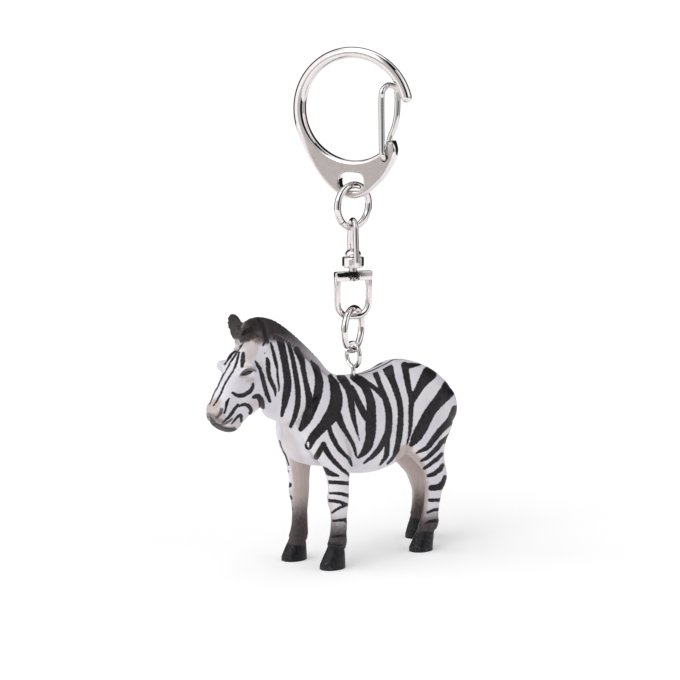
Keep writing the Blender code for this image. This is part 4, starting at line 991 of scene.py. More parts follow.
# %% Lofts of the legs, and the brows
SOLE_MARGIN, DRAWN_IN_BELOW = 0.6 * MM, 0.6
BROW_PLACE = (0.38, 0.12, 0.86)
for table, side, stance, draw_in in LEGS:
    rings = []
    for up, along, out, length, width in smooth_path(table, LOFT_STEPS):
        place = Vector((along * BODY_LONG - CHEST_AHEAD + stance_shift(stance, up),
                        side * (out - draw_in * max(0, 1 - up / DRAWN_IN_BELOW)) * BODY_HALF, up * BACK_HIGH))
        rings.append(oval(place, Vector((length * LEG_WIDE, 0, 0)), Vector((0, width * LEG_WIDE, 0)), 40))
    low = [point - Vector((0, 0, rings[0][0].z - SOLE_Z + SOLE_MARGIN)) for point in rings[0]]
    skin(clay, [low, *rings])
for side in (-1, 1):
    down, inset, out = BROW_PLACE
    lump = bmesh.ops.create_icosphere(clay, subdivisions=4, radius=BROW)["verts"]
    bmesh.ops.translate(clay, verts=lump, vec=SOLE + head_point(down, inset, side * out))
print("with legs and brows:", len(clay.verts), "points")

# %% Loft of the tail
tail_rows = smooth_path(TAIL_ROWS, LOFT_STEPS)
tail_spots = [Vector((along * BODY_LONG - CHEST_AHEAD, across * BODY_HALF, up * BACK_HIGH))
              for along, up, across, width in tail_rows]
rings = []
for i, row in enumerate(tail_rows):
    run = (tail_spots[min(i + 1, len(tail_spots) - 1)] - tail_spots[max(i - 1, 0)]).normalized()
    half = float(row[3]) * TAIL_WIDE
    upright = run.cross(Vector((0, 1, 0))).normalized()
    rings.append(oval(tail_spots[i], Vector((0, half, 0)), upright * half, 24))
skin(clay, rings)
print("with the tail:", len(clay.verts), "points")

# %% [markdown]
# ## Ears and mane
# An ear is a leaf rolled into a cup. Its section is a crescent: the back follows an oval, and the front
# is the same oval pushed towards the back, which leaves a thin wall with a real hollow. The mane is a
# brush of stiff hair that stands on the crest of the neck, moulded as one ridge.

# %% Ears
EAR_WALL, FAR_EAR, HOLLOW_START = 0.42, 1.13, 0.25
ear_axes = []
for side, down, inset, out, lean_ahead, lean_out in EARS:
    foot = SOLE + head_point(down, inset, side * out)
    rise = (Vector((0, 0, 1)) + ahead_way * lean_ahead + cheek_way * (side * lean_out)).normalized()
    wide = (cheek_way - rise * cheek_way.dot(rise)).normalized()
    front = rise.cross(wide)
    ear_axes.append((foot, rise, wide, front))
    rings = []
    for up, width, depth in smooth_path(EAR_OUTLINE, 4):
        ring = []
        hollow = (1 - EAR_WALL) * min(1, float(up) / HOLLOW_START)
        for angle in np.linspace(0, 2 * math.pi, 48, endpoint=False):
            c, s = math.cos(angle), math.sin(angle)
            fore = s if s < 0 else s * (1 - 2 * hollow)
            reach_out = width * EAR_WIDE / 2 * (FAR_EAR if side > 0 else 1)
            ring.append(foot + rise * (up * EAR_HIGH) + wide * (c * reach_out)
                        + front * (fore * depth * EAR_WIDE / 2))
        rings.append(ring)
    skin(clay, rings)
print("with ears:", len(clay.verts), "points")

# %% Mane
mane_rows = smooth_path(MANE_ROWS, 6)
crest = [neck_point(ahead, up) for ahead, up, high in mane_rows]
rings = []
for i, row in enumerate(mane_rows):
    run = (crest[min(i + 1, len(crest) - 1)] - crest[max(i - 1, 0)]).normalized()
    upright = Vector((-run.z, 0, run.x)) * (row[2] * MANE_HIGH / 2)
    rings.append(oval(crest[i], Vector((0, MANE_WIDE / 2, 0)), upright, 24))
skin(clay, rings)
print("lofts:", len(clay.verts), "points")

# %% [markdown]
# ## One skin
# The voxel remesh turns the overlapping lumps into one even skin, as clay would. A boolean union would
# keep every seam between them sharp, and a moulding has none. The cells are 0.37 mm wide, and those of
# the head are then halved, because its painted lines are the finest.

# %% One skin
GRAIN, SOFTENING = 0.37 * MM, 4
mesh = bpy.data.meshes.new("zebra_clay")
clay.to_mesh(mesh)
clay.free()
zebra = bpy.data.objects.new("zebra_figure_moulding", mesh)
bpy.context.scene.collection.objects.link(zebra)
remesh = zebra.modifiers.new("skin", "REMESH")
remesh.mode, remesh.voxel_size = "VOXEL", GRAIN
soften = zebra.modifiers.new("soften", "SMOOTH")
soften.factor, soften.iterations = 0.5, SOFTENING
keep_result(zebra)
CUT_DEPTH = 0.02
floor_box = loft("sole_cut", [[(x, y, z) for x, y in ((-0.1, -0.1), (0.1, -0.1), (0.1, 0.1), (-0.1, 0.1))]
                              for z in (SOLE_Z - CUT_DEPTH, SOLE_Z)])
cut_or_fuse(zebra, floor_box, "DIFFERENCE")
SOCKET_DEEP, SOCKET_SIDES = SHANK + FIT, 32
socket_z = SOLE_Z + BACK_HIGH
socket = loft("socket", spun([(EYE_WIRE / 2 + FIT, socket_z - SOCKET_DEEP),
                              (EYE_WIRE / 2 + FIT, socket_z + SOCKET_DEEP)], SOCKET_SIDES))
cut_or_fuse(zebra, socket, "DIFFERENCE")
print("skin:", len(zebra.data.vertices), "points")

# %% A finer head
# Where the head ends and the neck starts, in mm: in from the nose line, and down along it
NECK_LINE = np.array([(0, -1.0), (2.2, 5.6), (13.5, 10.2)]) * MM
HEAD_END, JAW_END = 1.1, 1.15


def head_places(points):
    """Down the nose, in to the jaw and out to the right cheek, in metres, for places in the frame."""
    local = points - np.array(SOLE + poll)
    return local @ np.array(nose_way), local @ np.array(jaw_way), local @ np.array(cheek_way)


def on_head(points):
    """Whether each point belongs to the head, in front of the line where the neck starts."""
    down, inset, out = head_places(points)
    behind = np.interp(inset, *NECK_LINE.T)
    return (down > behind) & (down < HEAD_END * HEAD_LONG) & (inset < JAW_END * HEAD_DEEP)


def finer(thing, chosen):
    """Halve the cells where both ends of an edge are chosen."""
    bm = bmesh.new()
    bm.from_mesh(thing.data)
    edges = [e for e in bm.edges if chosen[e.verts[0].index] and chosen[e.verts[1].index]]
    bmesh.ops.subdivide_edges(bm, edges=edges, cuts=1, use_grid_fill=True)
    near = list(dict.fromkeys(v for e in edges if e.is_valid for v in e.verts))
    bmesh.ops.smooth_vert(bm, verts=near, factor=0.5,
                          use_axis_x=True, use_axis_y=True, use_axis_z=True)
    bm.to_mesh(thing.data)
    bm.free()


def vertex_places(mesh):
    """The mesh's points, as rows."""
    places = np.zeros(len(mesh.vertices) * 3, np.float32)
    mesh.vertices.foreach_get("co", places)
    return places.reshape(-1, 3).astype(float)


finer(zebra, on_head(vertex_places(zebra.data)))
print("with the finer head:", len(zebra.data.vertices), "points")

# %% [markdown]
# ## Strokes from the photograph
# The painter's stripes and the sculptor's small forms are both strokes: a line with a width. Each is
# written down where the photograph shows it, in its pixels. To use them, every point of the skin is
# seen through the same camera. The far half of the animal can't be seen, so each of its points takes
# the place of its twin on the near half: across the middle plane of the body, across the head's own
# plane on the turned head, and across to the near leg where a far leg stands further back.

# %% Strokes


def stroke_gap(pixels, stroke, limit=24.0):
    """How far each point lies outside a stroke of (across, down, width), in pixels."""
    spots = np.array(smooth_path([p if len(p) == 3 else (*p, 0) for p in stroke], 5))
    best = np.full(len(pixels), limit)
    low, high = spots[:, :2].min(0) - limit, spots[:, :2].max(0) + limit
    near = np.flatnonzero(((pixels > low) & (pixels < high)).all(1))
    here = pixels[near]
    found = np.full(len(near), limit)
    for a, b in zip(spots, spots[1:]):
        run = b[:2] - a[:2]
        t = np.clip(((here - a[:2]) @ run) / max(run @ run, 1e-9), 0, 1)
        off = here - a[:2] - t[:, None] * run
        found = np.minimum(found, np.hypot(off[:, 0], off[:, 1]) - (a[2] + (b[2] - a[2]) * t) / 2)
    best[near] = found
    return best


def strokes_gap(pixels, strokes):
    """How far each point lies outside the nearest of the strokes."""
    return np.min([stroke_gap(pixels, stroke) for stroke in strokes], axis=0)


sample = stroke_gap(np.array([[5.0, 0.0]]), [(0, 0, 2), (10, 0, 2)])
print("the gap in the middle of a stroke 2 wide:", float(sample[0]))

# %% Twins of the far half
HIND_FROM, STANCE_TOP = 8 * MM, 0.8


def near_twins(points, normals):
    """The near-side place and normal that stand for each point of the skin."""
    places, ways = points.copy(), normals.copy()
    head = on_head(points)
    out = head_places(points)[2]
    cheek = np.array(cheek_way)
    far = head & (out > 0)
    places[far] -= np.outer(2 * out[far], cheek)
    ways[far] -= np.outer(2 * (ways[far] @ cheek), cheek)
    far = ~head & (points[:, 1] > 0)
    up = (points[:, 2] - SOLE_Z) / BACK_HIGH
    for stance, leg in ((FAR_FORE, points[:, 0] < 0), (FAR_HIND, points[:, 0] > HIND_FROM)):
        some = far & leg & (up < STANCE_TOP)
        places[some, 0] -= np.interp(up[some], *np.array(stance, float).T) * BODY_LONG
    places[far, 1] *= -1
    ways[far, 1] *= -1
    return places, ways, head


def vertex_normals(mesh):
    """The normals at the mesh's points, as rows."""
    ways = np.zeros(len(mesh.vertices) * 3, np.float32)
    mesh.vertices.foreach_get("normal", ways)
    return ways.reshape(-1, 3).astype(float)


points, normals = vertex_places(zebra.data), vertex_normals(zebra.data)
places, ways, head = near_twins(points, normals)
pixels = to_pixels(places)
print("points of the head:", int(head.sum()), "of", len(points))

# %% [markdown]
# ## Pressing in the fine forms
# Each row is a stroke with a depth: less than zero is a groove, more is a ridge. Muscles are wide and
# shallow, eyelids and nostrils narrow and deep. Moving points along their normals keeps the skin closed.

# %% The small forms
# Each row: height in mm, softness in pixels, the part that it is on, and the stroke
HEAD, BODY, BOTH = (True,), (False,), (True, False)
FORMS = [
    (0.30, 1.6, HEAD, [(239.5, 374), (243, 370.3), (249, 368), (256.5, 369.8)]),
    (-0.16, 1.8, HEAD, [(239, 369), (245, 364.8), (251, 364), (258, 367)]),
    (0.16, 1.5, HEAD, [(241.5, 378.6), (247, 379), (252.5, 376.4), (256, 372.5)]),
    (-0.12, 3.0, HEAD, [(243, 384), (249, 384), (254, 380)]),
    (-0.34, 1.2, HEAD, [(221.6, 410.6), (220.0, 414.2), (215.6, 418.7)]),
    (0.26, 2.2, HEAD, [(223.5, 407.5), (217.5, 411), (212.5, 416.5)]),
    (0.14, 2.2, HEAD, [(226, 413), (221.5, 418), (217, 421.5)]),
    (-0.20, 1.0, HEAD, [(210.5, 420.6), (215, 423.4), (221, 424.4), (228, 421.4), (234.5, 415.5)]),
    (0.12, 2.5, HEAD, [(244, 383), (238, 388), (231, 397)]),
    (0.22, 8.0, HEAD, [(253, 388), (255, 396)]),
    (-0.15, 3.0, HEAD, [(240, 398), (233, 404)]),
    (0.15, 3.0, HEAD, [(232, 424), (238, 421)]),
    (0.90, 5.0, BOTH, [(272, 415), (275.5, 420), (277, 426)]),
    (-0.20, 2.5, HEAD, [(259, 357), (263, 372), (267, 386), (266, 400)]),
    (-0.20, 3.0, BODY, [(263, 362), (270, 384), (268, 402)]),
    (-0.16, 4.0, BODY, [(272, 404), (280, 425), (288, 436)]),
    (-0.20, 5.0, BODY, [(321, 374), (309, 398), (301, 424)]),
    (-0.16, 5.0, BODY, [(342, 384), (335, 418), (328, 446)]),
    (0.20, 9.0, BODY, [(322, 400), (312, 428)]),
    (-0.20, 3.5, BODY, [(288, 430), (297, 442), (304, 462)]),
    (-0.22, 2.5, BODY, [(325, 466), (336, 470), (348, 463)]),
    (0.16, 3.0, BODY, [(329, 497), (330, 506)]),
    (-0.12, 1.8, BODY, [(341, 486), (341, 500), (340, 518)]),
    (0.14, 3.0, BODY, [(347, 523), (344, 530)]),
    (0.28, 2.5, BODY, [(384, 458), (398, 451), (409, 441)]),
    (-0.22, 7.0, BODY, [(388, 444), (396, 428)]),
    (0.22, 4.0, BODY, [(394, 362), (399, 372)]),
    (-0.18, 5.0, BODY, [(404, 376), (408, 392)]),
    (-0.22, 3.5, BODY, [(449, 388), (442, 414), (434, 438)]),
    (0.20, 8.0, BODY, [(418, 424), (414, 436)]),
    (-0.18, 2.2, BODY, [(436, 450), (434, 464), (438, 474)]),
    (0.22, 2.6, BODY, [(443.5, 478), (443, 484)]),
    (-0.14, 1.8, BODY, [(436, 490), (435, 502), (434, 514)]),
    (0.16, 3.0, BODY, [(438, 520), (437, 526)]),
]
push = np.zeros(len(points))
for height, soft, part, stroke in FORMS:
    push += height * np.exp(-(stroke_gap(pixels, stroke) / soft) ** 2) * np.isin(head, part)
print("small forms, mm:", round(push.min(), 2), "to", round(push.max(), 2))

# %% The eye
EYE_TOP = [(240.7, 376), (244, 372.2), (249, 370.0), (254.5, 370.9)]
EYE_BOTTOM = [(240.7, 376), (246, 376.2), (251, 374.2), (254.5, 370.9)]
EYE_LEFT, EYE_RIGHT, EYE_MIDDLE = 240, 255.2, (247, 371)
EYE_SUNK, EYE_BULGE, FAR_BROW = -0.16, 0.20, 14


def eye_inside(pixels, head):
    """How far each point lies inside the open eye, in pixels."""
    top = np.interp(pixels[:, 0], *np.array(smooth_path(EYE_TOP, 4)).T)
    bottom = np.interp(pixels[:, 0], *np.array(smooth_path(EYE_BOTTOM, 4)).T)
    inside = np.minimum(np.minimum(pixels[:, 1] - top, bottom - pixels[:, 1]),
                        np.minimum(pixels[:, 0] - EYE_LEFT, EYE_RIGHT - pixels[:, 0]))
    return np.where(head, inside, -9.0)


# The far brow stands out less in the photograph
from_eye = np.hypot(pixels[:, 0] - EYE_MIDDLE[0], pixels[:, 1] - EYE_MIDDLE[1])
far_brow = head & (head_places(points)[2] > 0) & (from_eye < FAR_BROW)
push[far_brow & (push > 0)] = 0
inside = eye_inside(pixels, head)
push += np.where(inside > -1.2, EYE_SUNK + EYE_BULGE * np.clip(inside / 1.6, 0, 1), 0)
print("points in the eyes:", int((inside > 0).sum()))

# %% The mane's tufts
# They follow one another along the crest, so each point's distance along it is found first
TUFT, TUFT_DEEP, TUFT_REACH = 0.95, 0.22, 2.4
crest_line = np.array([SOLE + p for p in crest])
length = np.r_[0, np.cumsum(np.linalg.norm(np.diff(crest_line, axis=0), axis=1))] / MM
comb, depth = np.zeros(len(points)), np.full(len(points), 9.0)
for a, b, s0, s1 in zip(crest_line, crest_line[1:], length, length[1:]):
    run = b - a
    t = np.clip((points - a) @ run / (run @ run), 0, 1)
    off = np.linalg.norm(points - a - t[:, None] * run, axis=1) / MM
    closer = off < depth
    comb[closer], depth[closer] = (s0 + (s1 - s0) * t)[closer], off[closer]
in_mane = np.clip((TUFT_REACH - depth) / 0.6, 0, 1)
tufts = np.abs(np.sin(np.pi * comb / TUFT + 1.3 * np.sin(comb * 0.9))) ** 0.6
push += in_mane * (tufts - 0.75) * TUFT_DEEP
print("crest, mm:", round(length[-1], 1))

# %% The hooves and the far ear's foot
# The coronet is the line where hair meets hoof. It slopes down to the heel, from each foot's middle
HOOF_TOP, HOOF_SLOPE, FORE_ANKLE, HIND_ANKLE, HOOF_REACH = 5.0 * MM, 0.22, -10.5 * MM, 20.0 * MM, 9 * MM
ankle = np.where(places[:, 0] < 0, FORE_ANKLE, HIND_ANKLE)
hoof_gap = points[:, 2] - SOLE_Z - HOOF_TOP + (places[:, 0] - ankle) * HOOF_SLOPE
hoof_gap = np.where(points[:, 2] - SOLE_Z < HOOF_REACH, hoof_gap, 5 * MM) / MM
push += -0.14 * np.exp(-(hoof_gap / 0.30) ** 2) + 0.08 * np.exp(-((hoof_gap - 0.7) / 0.45) ** 2)
push[points[:, 2] < SOLE_Z + 0.15 * MM] = 0
points += normals * push[:, None] * MM
# The far ear's foot is narrower in the photograph than its twin would be
FAR_FOOT, FOOT_SOFT, FOOT_IN = [(235, 343.5, 2.0), (234, 348, 2.0)], 3.2, 1.4
off_foot = np.maximum(stroke_gap(to_pixels(points), FAR_FOOT), 0) / FOOT_SOFT
share = head * np.clip(head_places(points)[2] / (1.5 * MM), 0, 1)
points += np.outer(FOOT_IN * MM * np.exp(-off_foot ** 2) * share, side_way)
zebra.data.vertices.foreach_set("co", points.astype(np.float32).ravel())
zebra.data.update()
print("pushed, mm:", round(push.min(), 2), "to", round(push.max(), 2))

# %% [markdown]
# ## The stripes
# The stripes are strokes of nearly black paint over a white body. For each point of the skin the script
# keeps its distance to the nearest stroke's edge. A distance field stays sharp between the mesh's
# points, which a plain black-or-white value wouldn't, and the material decides where the edge falls.

# %% Stripes of the head
HEAD_STROKES = [
    [(243.2, 353.5, 3.4), (242.8, 360, 4.8), (241.9, 366.2, 2.8)],
    [(238.9, 352.5, 2.2), (236.9, 362, 2.4), (235, 368, 1.2)],
    [(232.6, 392.8, 2.8), (236.6, 395.4, 3.6), (242.4, 395.4, 4.4), (248.2, 392.3, 4.2),
     (251.8, 387.9, 3.6), (253.1, 383.4, 1.8)],
    [(229.2, 398.6, 1.8), (226.8, 403, 3.0), (225.3, 409.7, 2.4), (223.9, 413.4, 1.2)],
    [(238.4, 404.8, 2.6), (234.8, 408.8, 3.0), (230.4, 415.1, 3.4), (226.3, 419.6, 2.6),
     (221.9, 423.6, 1.0)],
    [(239.2, 406.0, 2.2), (241.6, 405.2, 3.0), (245.1, 404.4, 3.4), (249.1, 406.6, 3.8),
     (250.9, 410.2, 3.8), (250, 413.3, 3.0)],
    [(231.3, 423.6, 1.0), (234.8, 419.6, 2.0), (238.4, 416, 3.0), (241.1, 415.5, 3.0), (241.1, 421.3, 2.4)],
    [(253.1, 396.8, 3.4), (257.2, 396.2, 5.4), (261.0, 400.8, 6.6), (261.8, 407, 6.0)],
]
# Only where the nose's skin faces the camera
NOSE_LINES = [
    [(225, 360, 1.0), (231, 354, 1.1), (241, 345.5, 1.0), (243.8, 342.6, 0.9)],
    [(243, 343.8, 0.9), (241.5, 346, 1.2), (233.6, 357.5, 1.3), (226.3, 370, 1.4), (222.3, 376.7, 1.4),
     (217.9, 386.5, 1.2), (214.3, 392.8, 1.2), (209.4, 404.7, 0.9)],
    [(239.4, 352.3, 1.2), (233.5, 370, 1.8), (230.4, 374.9, 1.8), (224.6, 384.7, 1.9), (219.2, 396.8, 1.9),
     (213.6, 405.6, 1.5)],
]
EAR_RIM = [
    [(258, 318, 5), (262.5, 326, 4.5), (264.9, 333, 4), (265.3, 340.7, 3), (262.6, 345.6, 1.6)],
    [(265.7, 328.4, 1.0), (266.4, 334.9, 1.2), (268.4, 342.6, 1.4)],
    [(268.4, 340.8, 1.6), (268.4, 343.2, 1.4)],
    [(264.5, 352.9, 1.2), (264.5, 353.8, 1.2)],
    [(242.6, 334.6, 2.6), (246.4, 331.2, 5.4), (250.6, 329.4, 4.4)],
]
print("strokes of the head:", len(HEAD_STROKES + NOSE_LINES + EAR_RIM))

# %% Stripes of the neck and shoulder
NECK_STROKES = [
    [(255.3, 361.3, 1.6), (258.4, 365.6, 3.4), (261.4, 373, 4.4), (265.5, 388.8, 4.8), (269.7, 401.2, 3.2)],
    [(266.8, 358.2, 2.4), (268.0, 362.5, 4.2), (268.7, 371.4, 4.2), (269.9, 377.7, 4.2),
     (272.9, 384.8, 3.9), (275.2, 391, 2.8), (275.4, 396.4, 1.4)],
    [(270.9, 343, 2.2), (273.2, 352, 3.2), (275.6, 361.6, 3.4), (277.3, 369.6, 2.2), (278.0, 380.4, 2.2),
     (279.0, 386, 2.0), (278.5, 391.6, 1.0)],
    [(275.5, 337, 5.5), (281.5, 340.0, 5.5)],
    [(280.4, 341, 7.4), (284.1, 357.9, 7.2), (287.6, 381.6, 7.8), (285.9, 396.9, 7.4), (281.8, 415.3, 3.2)],
    [(288.7, 343.7, 4.0), (292.5, 357.9, 4.4), (297.1, 383.6, 5.4), (298, 399.6, 5.6), (295.4, 414.8, 5.2),
     (290.5, 426.5, 3.6)],
    [(296.5, 349.5, 6.4), (301.6, 359.5, 6.4), (303.4, 370.2, 5.0), (306.1, 383.6, 5.4), (309.2, 397, 7.0),
     (309.4, 407.7, 7.6), (305.9, 417.7, 7.8), (302.0, 427.3, 6.0)],
    [(311, 361.3, 2.8), (315.9, 368.4, 6.6), (319, 377.3, 8.0), (319, 387.1, 8.4), (316.8, 397.9, 8.0),
     (312.2, 409.8, 8.0), (306.9, 420.7, 7.6), (300.7, 429.1, 5.0)],
    [(330.2, 376.5, 5.0), (334.6, 385.4, 10.0), (336.4, 397.9, 13.0), (334.6, 408.6, 14.0),
     (330.2, 417.5, 14.0), (325.7, 422.9, 11.5), (319.5, 430, 10.0), (313.2, 437.1, 9.0),
     (308.4, 446.0, 7.6)],
    [(328.4, 423.8, 5.0), (332, 435.4, 5.0), (337.9, 447.1, 4.6), (344.1, 454.3, 4.0), (349.5, 459.6, 3.4),
     (351.7, 465.9, 2.0)],
    [(338.2, 415.7, 8.0), (342.7, 426.4, 6.0), (348, 435.4, 4.4), (353.4, 445.2, 4.0), (356.2, 456.1, 2.0)],
]
# The first ones cross the edge of the jaw, so the head carries them too
HEAD_SHARE = 5
print("strokes of the neck:", len(NECK_STROKES), "of which the head shares", HEAD_SHARE)

# %% Stripes of the barrel
BARREL_STROKES = [
    [(340.9, 376.8, 8.4), (347.1, 385.4, 8.0), (350.7, 396.1, 7.2), (351.6, 406.8, 6.5),
     (353.4, 417.5, 5.0), (356.1, 428.2, 3.2), (359.6, 440.7, 1.0)],
    [(351.6, 387, 4.4), (354.3, 392.5, 5.4), (358.8, 403.2, 6.2), (364.1, 413.9, 7.0), (368.6, 421, 6.0)],
    [(354.3, 377.0, 8.4), (362.3, 383.6, 8.2), (367.7, 392.5, 8.2), (370.8, 403.2, 9.0),
     (371.3, 414.8, 10.0), (370.8, 426.4, 11.0), (370.4, 435.4, 10.0), (367.7, 446.1, 9.0),
     (363.2, 453.2, 6.0), (357.9, 457.7, 2.0)],
    [(360.5, 377.3, 3.6), (368.6, 383.6, 4.4), (377.5, 390.7, 4.8), (383.8, 397, 5.0)],
    [(375.7, 373.8, 6.0), (380.2, 385.4, 5.0), (384.6, 397, 6.0), (388.2, 408.6, 7.0), (389.1, 419.3, 7.0),
     (388.7, 430, 7.5), (387.3, 438.9, 7.0), (387.3, 449.6, 5.2), (384.6, 457.7, 4.4), (380.2, 464.8, 2.0)],
    [(386.4, 435.4, 6.0), (381.1, 446.1, 6.0), (373.9, 455, 5.0), (364.1, 463, 2.0)],
    [(388.2, 369.3, 11.0), (391.8, 379.1, 7.4), (396.3, 390.7, 6.6), (399.8, 403.2, 6.0),
     (400.7, 415.7, 6.0), (400.3, 428.2, 6.0), (398.9, 438.9, 5.6), (396.3, 449.6, 5.0),
     (391.8, 458.6, 3.8), (387.3, 463.9, 2.0)],
    [(404.5, 365.3, 7.0), (407.3, 379.3, 6.2), (409.5, 390.5, 5.4), (411.6, 398.9, 6.2),
     (410.9, 410.2, 5.0), (410.2, 424.2, 4.0), (408.8, 435.4, 2.6), (405.9, 444.5, 1.0)],
    [(405, 366, 6.4), (412, 365.4, 5.0), (420, 364.4, 2.0)],
]
print("strokes of the barrel:", len(BARREL_STROKES))

# %% Stripes of the haunch and the legs
HAUNCH_STROKES = [
    [(429.4, 373.4, 14.5), (423.4, 381.4, 10.4), (418.6, 389.1, 8.0), (413, 398.9, 7.0)],
    [(450.8, 386.3, 16.0), (441, 398.9, 13.0), (431.2, 410.2, 11.0), (424.2, 422.8, 12.0),
     (417.2, 435.4, 11.0), (411.6, 443.8, 6.0)],
    [(455.8, 410.2, 10.0), (450.8, 420, 8.0), (441.4, 430, 6.2), (431.4, 442.4, 6.0), (426.4, 448.2, 4.8),
     (416.5, 452.8, 2.0)],
    [(451.3, 433.3, 4.0), (446.3, 439.1, 5.6), (441.4, 442.4, 5.0), (437.2, 448.2, 5.0), (431.4, 454, 4.8),
     (426.4, 458.2, 4.0), (420.6, 461.1, 2.0)],
    [(441.8, 454, 3.6), (437.2, 459, 4.0), (430.6, 464, 4.0), (423.9, 468.6, 3.0)],
    [(442.5, 465.2, 4.0), (439.7, 469.8, 5.0), (433.9, 473.9, 4.6), (427.5, 476, 3.2)],
    [(444.8, 477.5, 5.0), (443, 483.9, 7.6), (438, 487.2, 6.6), (431.4, 488, 6.0)],
    [(443, 499.6, 4.2), (435, 500.3, 3.4), (429.8, 500.1, 3.6)],
    [(440.5, 508.9, 3.2), (433.1, 510.4, 3.0), (427.7, 512.5, 2.6)],
    [(439.5, 520.6, 4.0), (431.4, 521.2, 3.0), (425.6, 523.3, 2.0)],
    [(436, 533.7, 3.0), (420.6, 532.8, 2.8)],
]
FORELEG_STROKES = [
    [(323.6, 444.5, 5.5), (316.4, 457, 5.5)],
    [(323.6, 444.5, 6.0), (328, 453.4, 5.4), (334.3, 461.4, 4.6), (341.4, 468.6, 4.0), (347.7, 473.9, 2.8),
     (350.5, 477.6, 2.0)],
    [(323.5, 467.6, 2.0), (328.9, 473, 5.4), (337.9, 475.7, 2.6)],
    [(326, 482.0, 3.6), (338, 482.6, 4.0), (351, 483.6, 4.0)],
    [(329.5, 493.2, 2.2), (339.6, 493.6, 3.2), (351, 496.2, 4.0)],
    [(329.5, 500.4, 3.2), (339.6, 502.1, 3.4), (350.6, 506.2, 3.0)],
    [(347.9, 504.7, 2.4), (339.6, 507.9, 2.6), (331.9, 512.7, 2.2)],
    [(333, 520.8, 2.4), (345, 519.9, 3.2)],
    [(344, 520, 2.2), (349, 516.9, 2.0)],
    [(344, 520, 2.2), (349, 524.6, 2.0)],
    [(332.5, 536.6, 2.6), (348, 535.2, 3.0)],
]
BODY_STROKES = NECK_STROKES + BARREL_STROKES + HAUNCH_STROKES + FORELEG_STROKES
# Only on the part of the far side that the photograph shows
CHEST_LINES = [
    [(279.6, 440.8, 1.6), (284.0, 451.6, 2.2), (289.0, 465.1, 1.6)],
    [(286.0, 471.3, 3.0), (287.6, 471.3, 2.6)],
    [(287.6, 484.8, 5.0), (290.2, 485, 4.6)],
    [(289.6, 497.6, 4.6), (291.6, 497.6, 4.0)],
    [(290.8, 508.8, 2.6), (292.2, 508.8, 2.2)],
]
print("strokes of the body:", len(BODY_STROKES))

# %% [markdown]
# ## Soft paint and painted shade
# Not every colour has a hard edge. The muzzle, the ears and the feet are sprayed with thin dark paint
# before the stripes go on. A beige goes on the head and the ears, and on the inner legs the same beige is
# painted shade. Each is a soft mask: a stroke again, but with a wide falloff, or a height above the soles.

# %% Soft strokes
# Each row: strength, softness in pixels, the part that it is on, and the stroke
SOOT = [
    (1.00, 4.0, HEAD, [(206.5, 411, 2), (208, 417, 4), (212, 422.8, 4.5), (218, 427.4, 4),
                       (227, 430, 2.4), (234, 429.4, 1.2)]),
    (0.55, 3.0, HEAD, [(212, 415, 2), (217, 420, 4), (224, 423, 3)]),
    (0.75, 1.8, HEAD, [(221.4, 409.8, 2.2), (220.6, 413.2, 1.8), (216.4, 418.2, 1.0)]),
    (0.75, 1.2, HEAD, [(212, 422.6, 1.0), (221, 425.3, 1.2), (229, 421.5, 1.0), (232.5, 418.5, 0.6)]),
    (0.80, 1.6, HEAD, [(240.8, 375.2, 0.6), (244.5, 371.2, 0.8), (249.5, 369.2, 0.8), (255, 370.6, 0.5)]),
    (0.28, 3.0, HEAD, [(247, 380.5, 1), (252.5, 379, 1)]),
    (0.45, 2.5, HEAD, [(246.5, 366.6, 0.5), (254.5, 368.2, 0.5)]),
    (0.90, 2.5, HEAD, [(243.5, 333, 3), (248, 327, 6), (253, 323, 6)]),
    (0.40, 4.0, HEAD, [(246, 337, 4), (252, 338, 3)]),
    (0.85, 2.5, BODY, [(243.5, 333, 3), (248, 327, 6), (253, 323, 6)]),
    (0.92, 3.0, BOTH, [(244, 337, 8), (247.5, 331, 11), (250, 325, 10)]),
    (0.88, 3.0, BOTH, [(239, 340, 4), (244.5, 338, 5), (248, 338.5, 4)]),
]
BEIGE_AND_SHADE = [
    (0.75, 6.0, HEAD, [(216, 403, 5), (213, 411, 6), (221, 418, 4)]),
    (0.60, 2.2, HEAD, [(216, 419.5, 2), (220, 417.5, 2)]),
    (0.55, 8.0, HEAD, [(247, 342, 8), (256, 344, 6), (249, 355, 6)]),
    (0.40, 5.0, HEAD, [(243, 378, 2), (252, 381, 3)]),
    (0.50, 5.0, HEAD, [(238, 424, 3), (231, 426, 3)]),
    (0.45, 7.0, HEAD, [(251, 405, 3), (257, 402, 3)]),
    # Painted shade on the front and inner side of the near hind leg
    (0.85, 3.5, BODY, [(409, 446, 4), (404, 455, 14), (412, 466, 20), (416, 478, 20), (417, 492, 20),
                       (416, 508, 20)]),
    (0.28, 9.0, BODY, [(283, 425, 6), (288, 445, 8), (297, 462, 8)]),
    (0.50, 5.0, BODY, [(329, 500, 2), (329, 512, 4), (331, 524, 6)]),
]


def ease(values, start, end):
    """Smoothly from 0 at start to 1 at end, whichever is larger."""
    t = np.clip((values - start) / (end - start), 0, 1)
    return t * t * (3 - 2 * t)


def soft_mask(rows):
    """The strongest of the soft strokes at each point."""
    mask = np.zeros(len(pixels))
    for strength, soft, part, stroke in rows:
        here = ease(stroke_gap(pixels, stroke), soft, 0) * np.isin(head, part)
        mask = np.maximum(mask, strength * here)
    return mask


soot, beige_and_shade = soft_mask(SOOT), soft_mask(BEIGE_AND_SHADE)
print("soot and warm, mean:", round(float(soot.mean()), 3), round(float(beige_and_shade.mean()), 3))
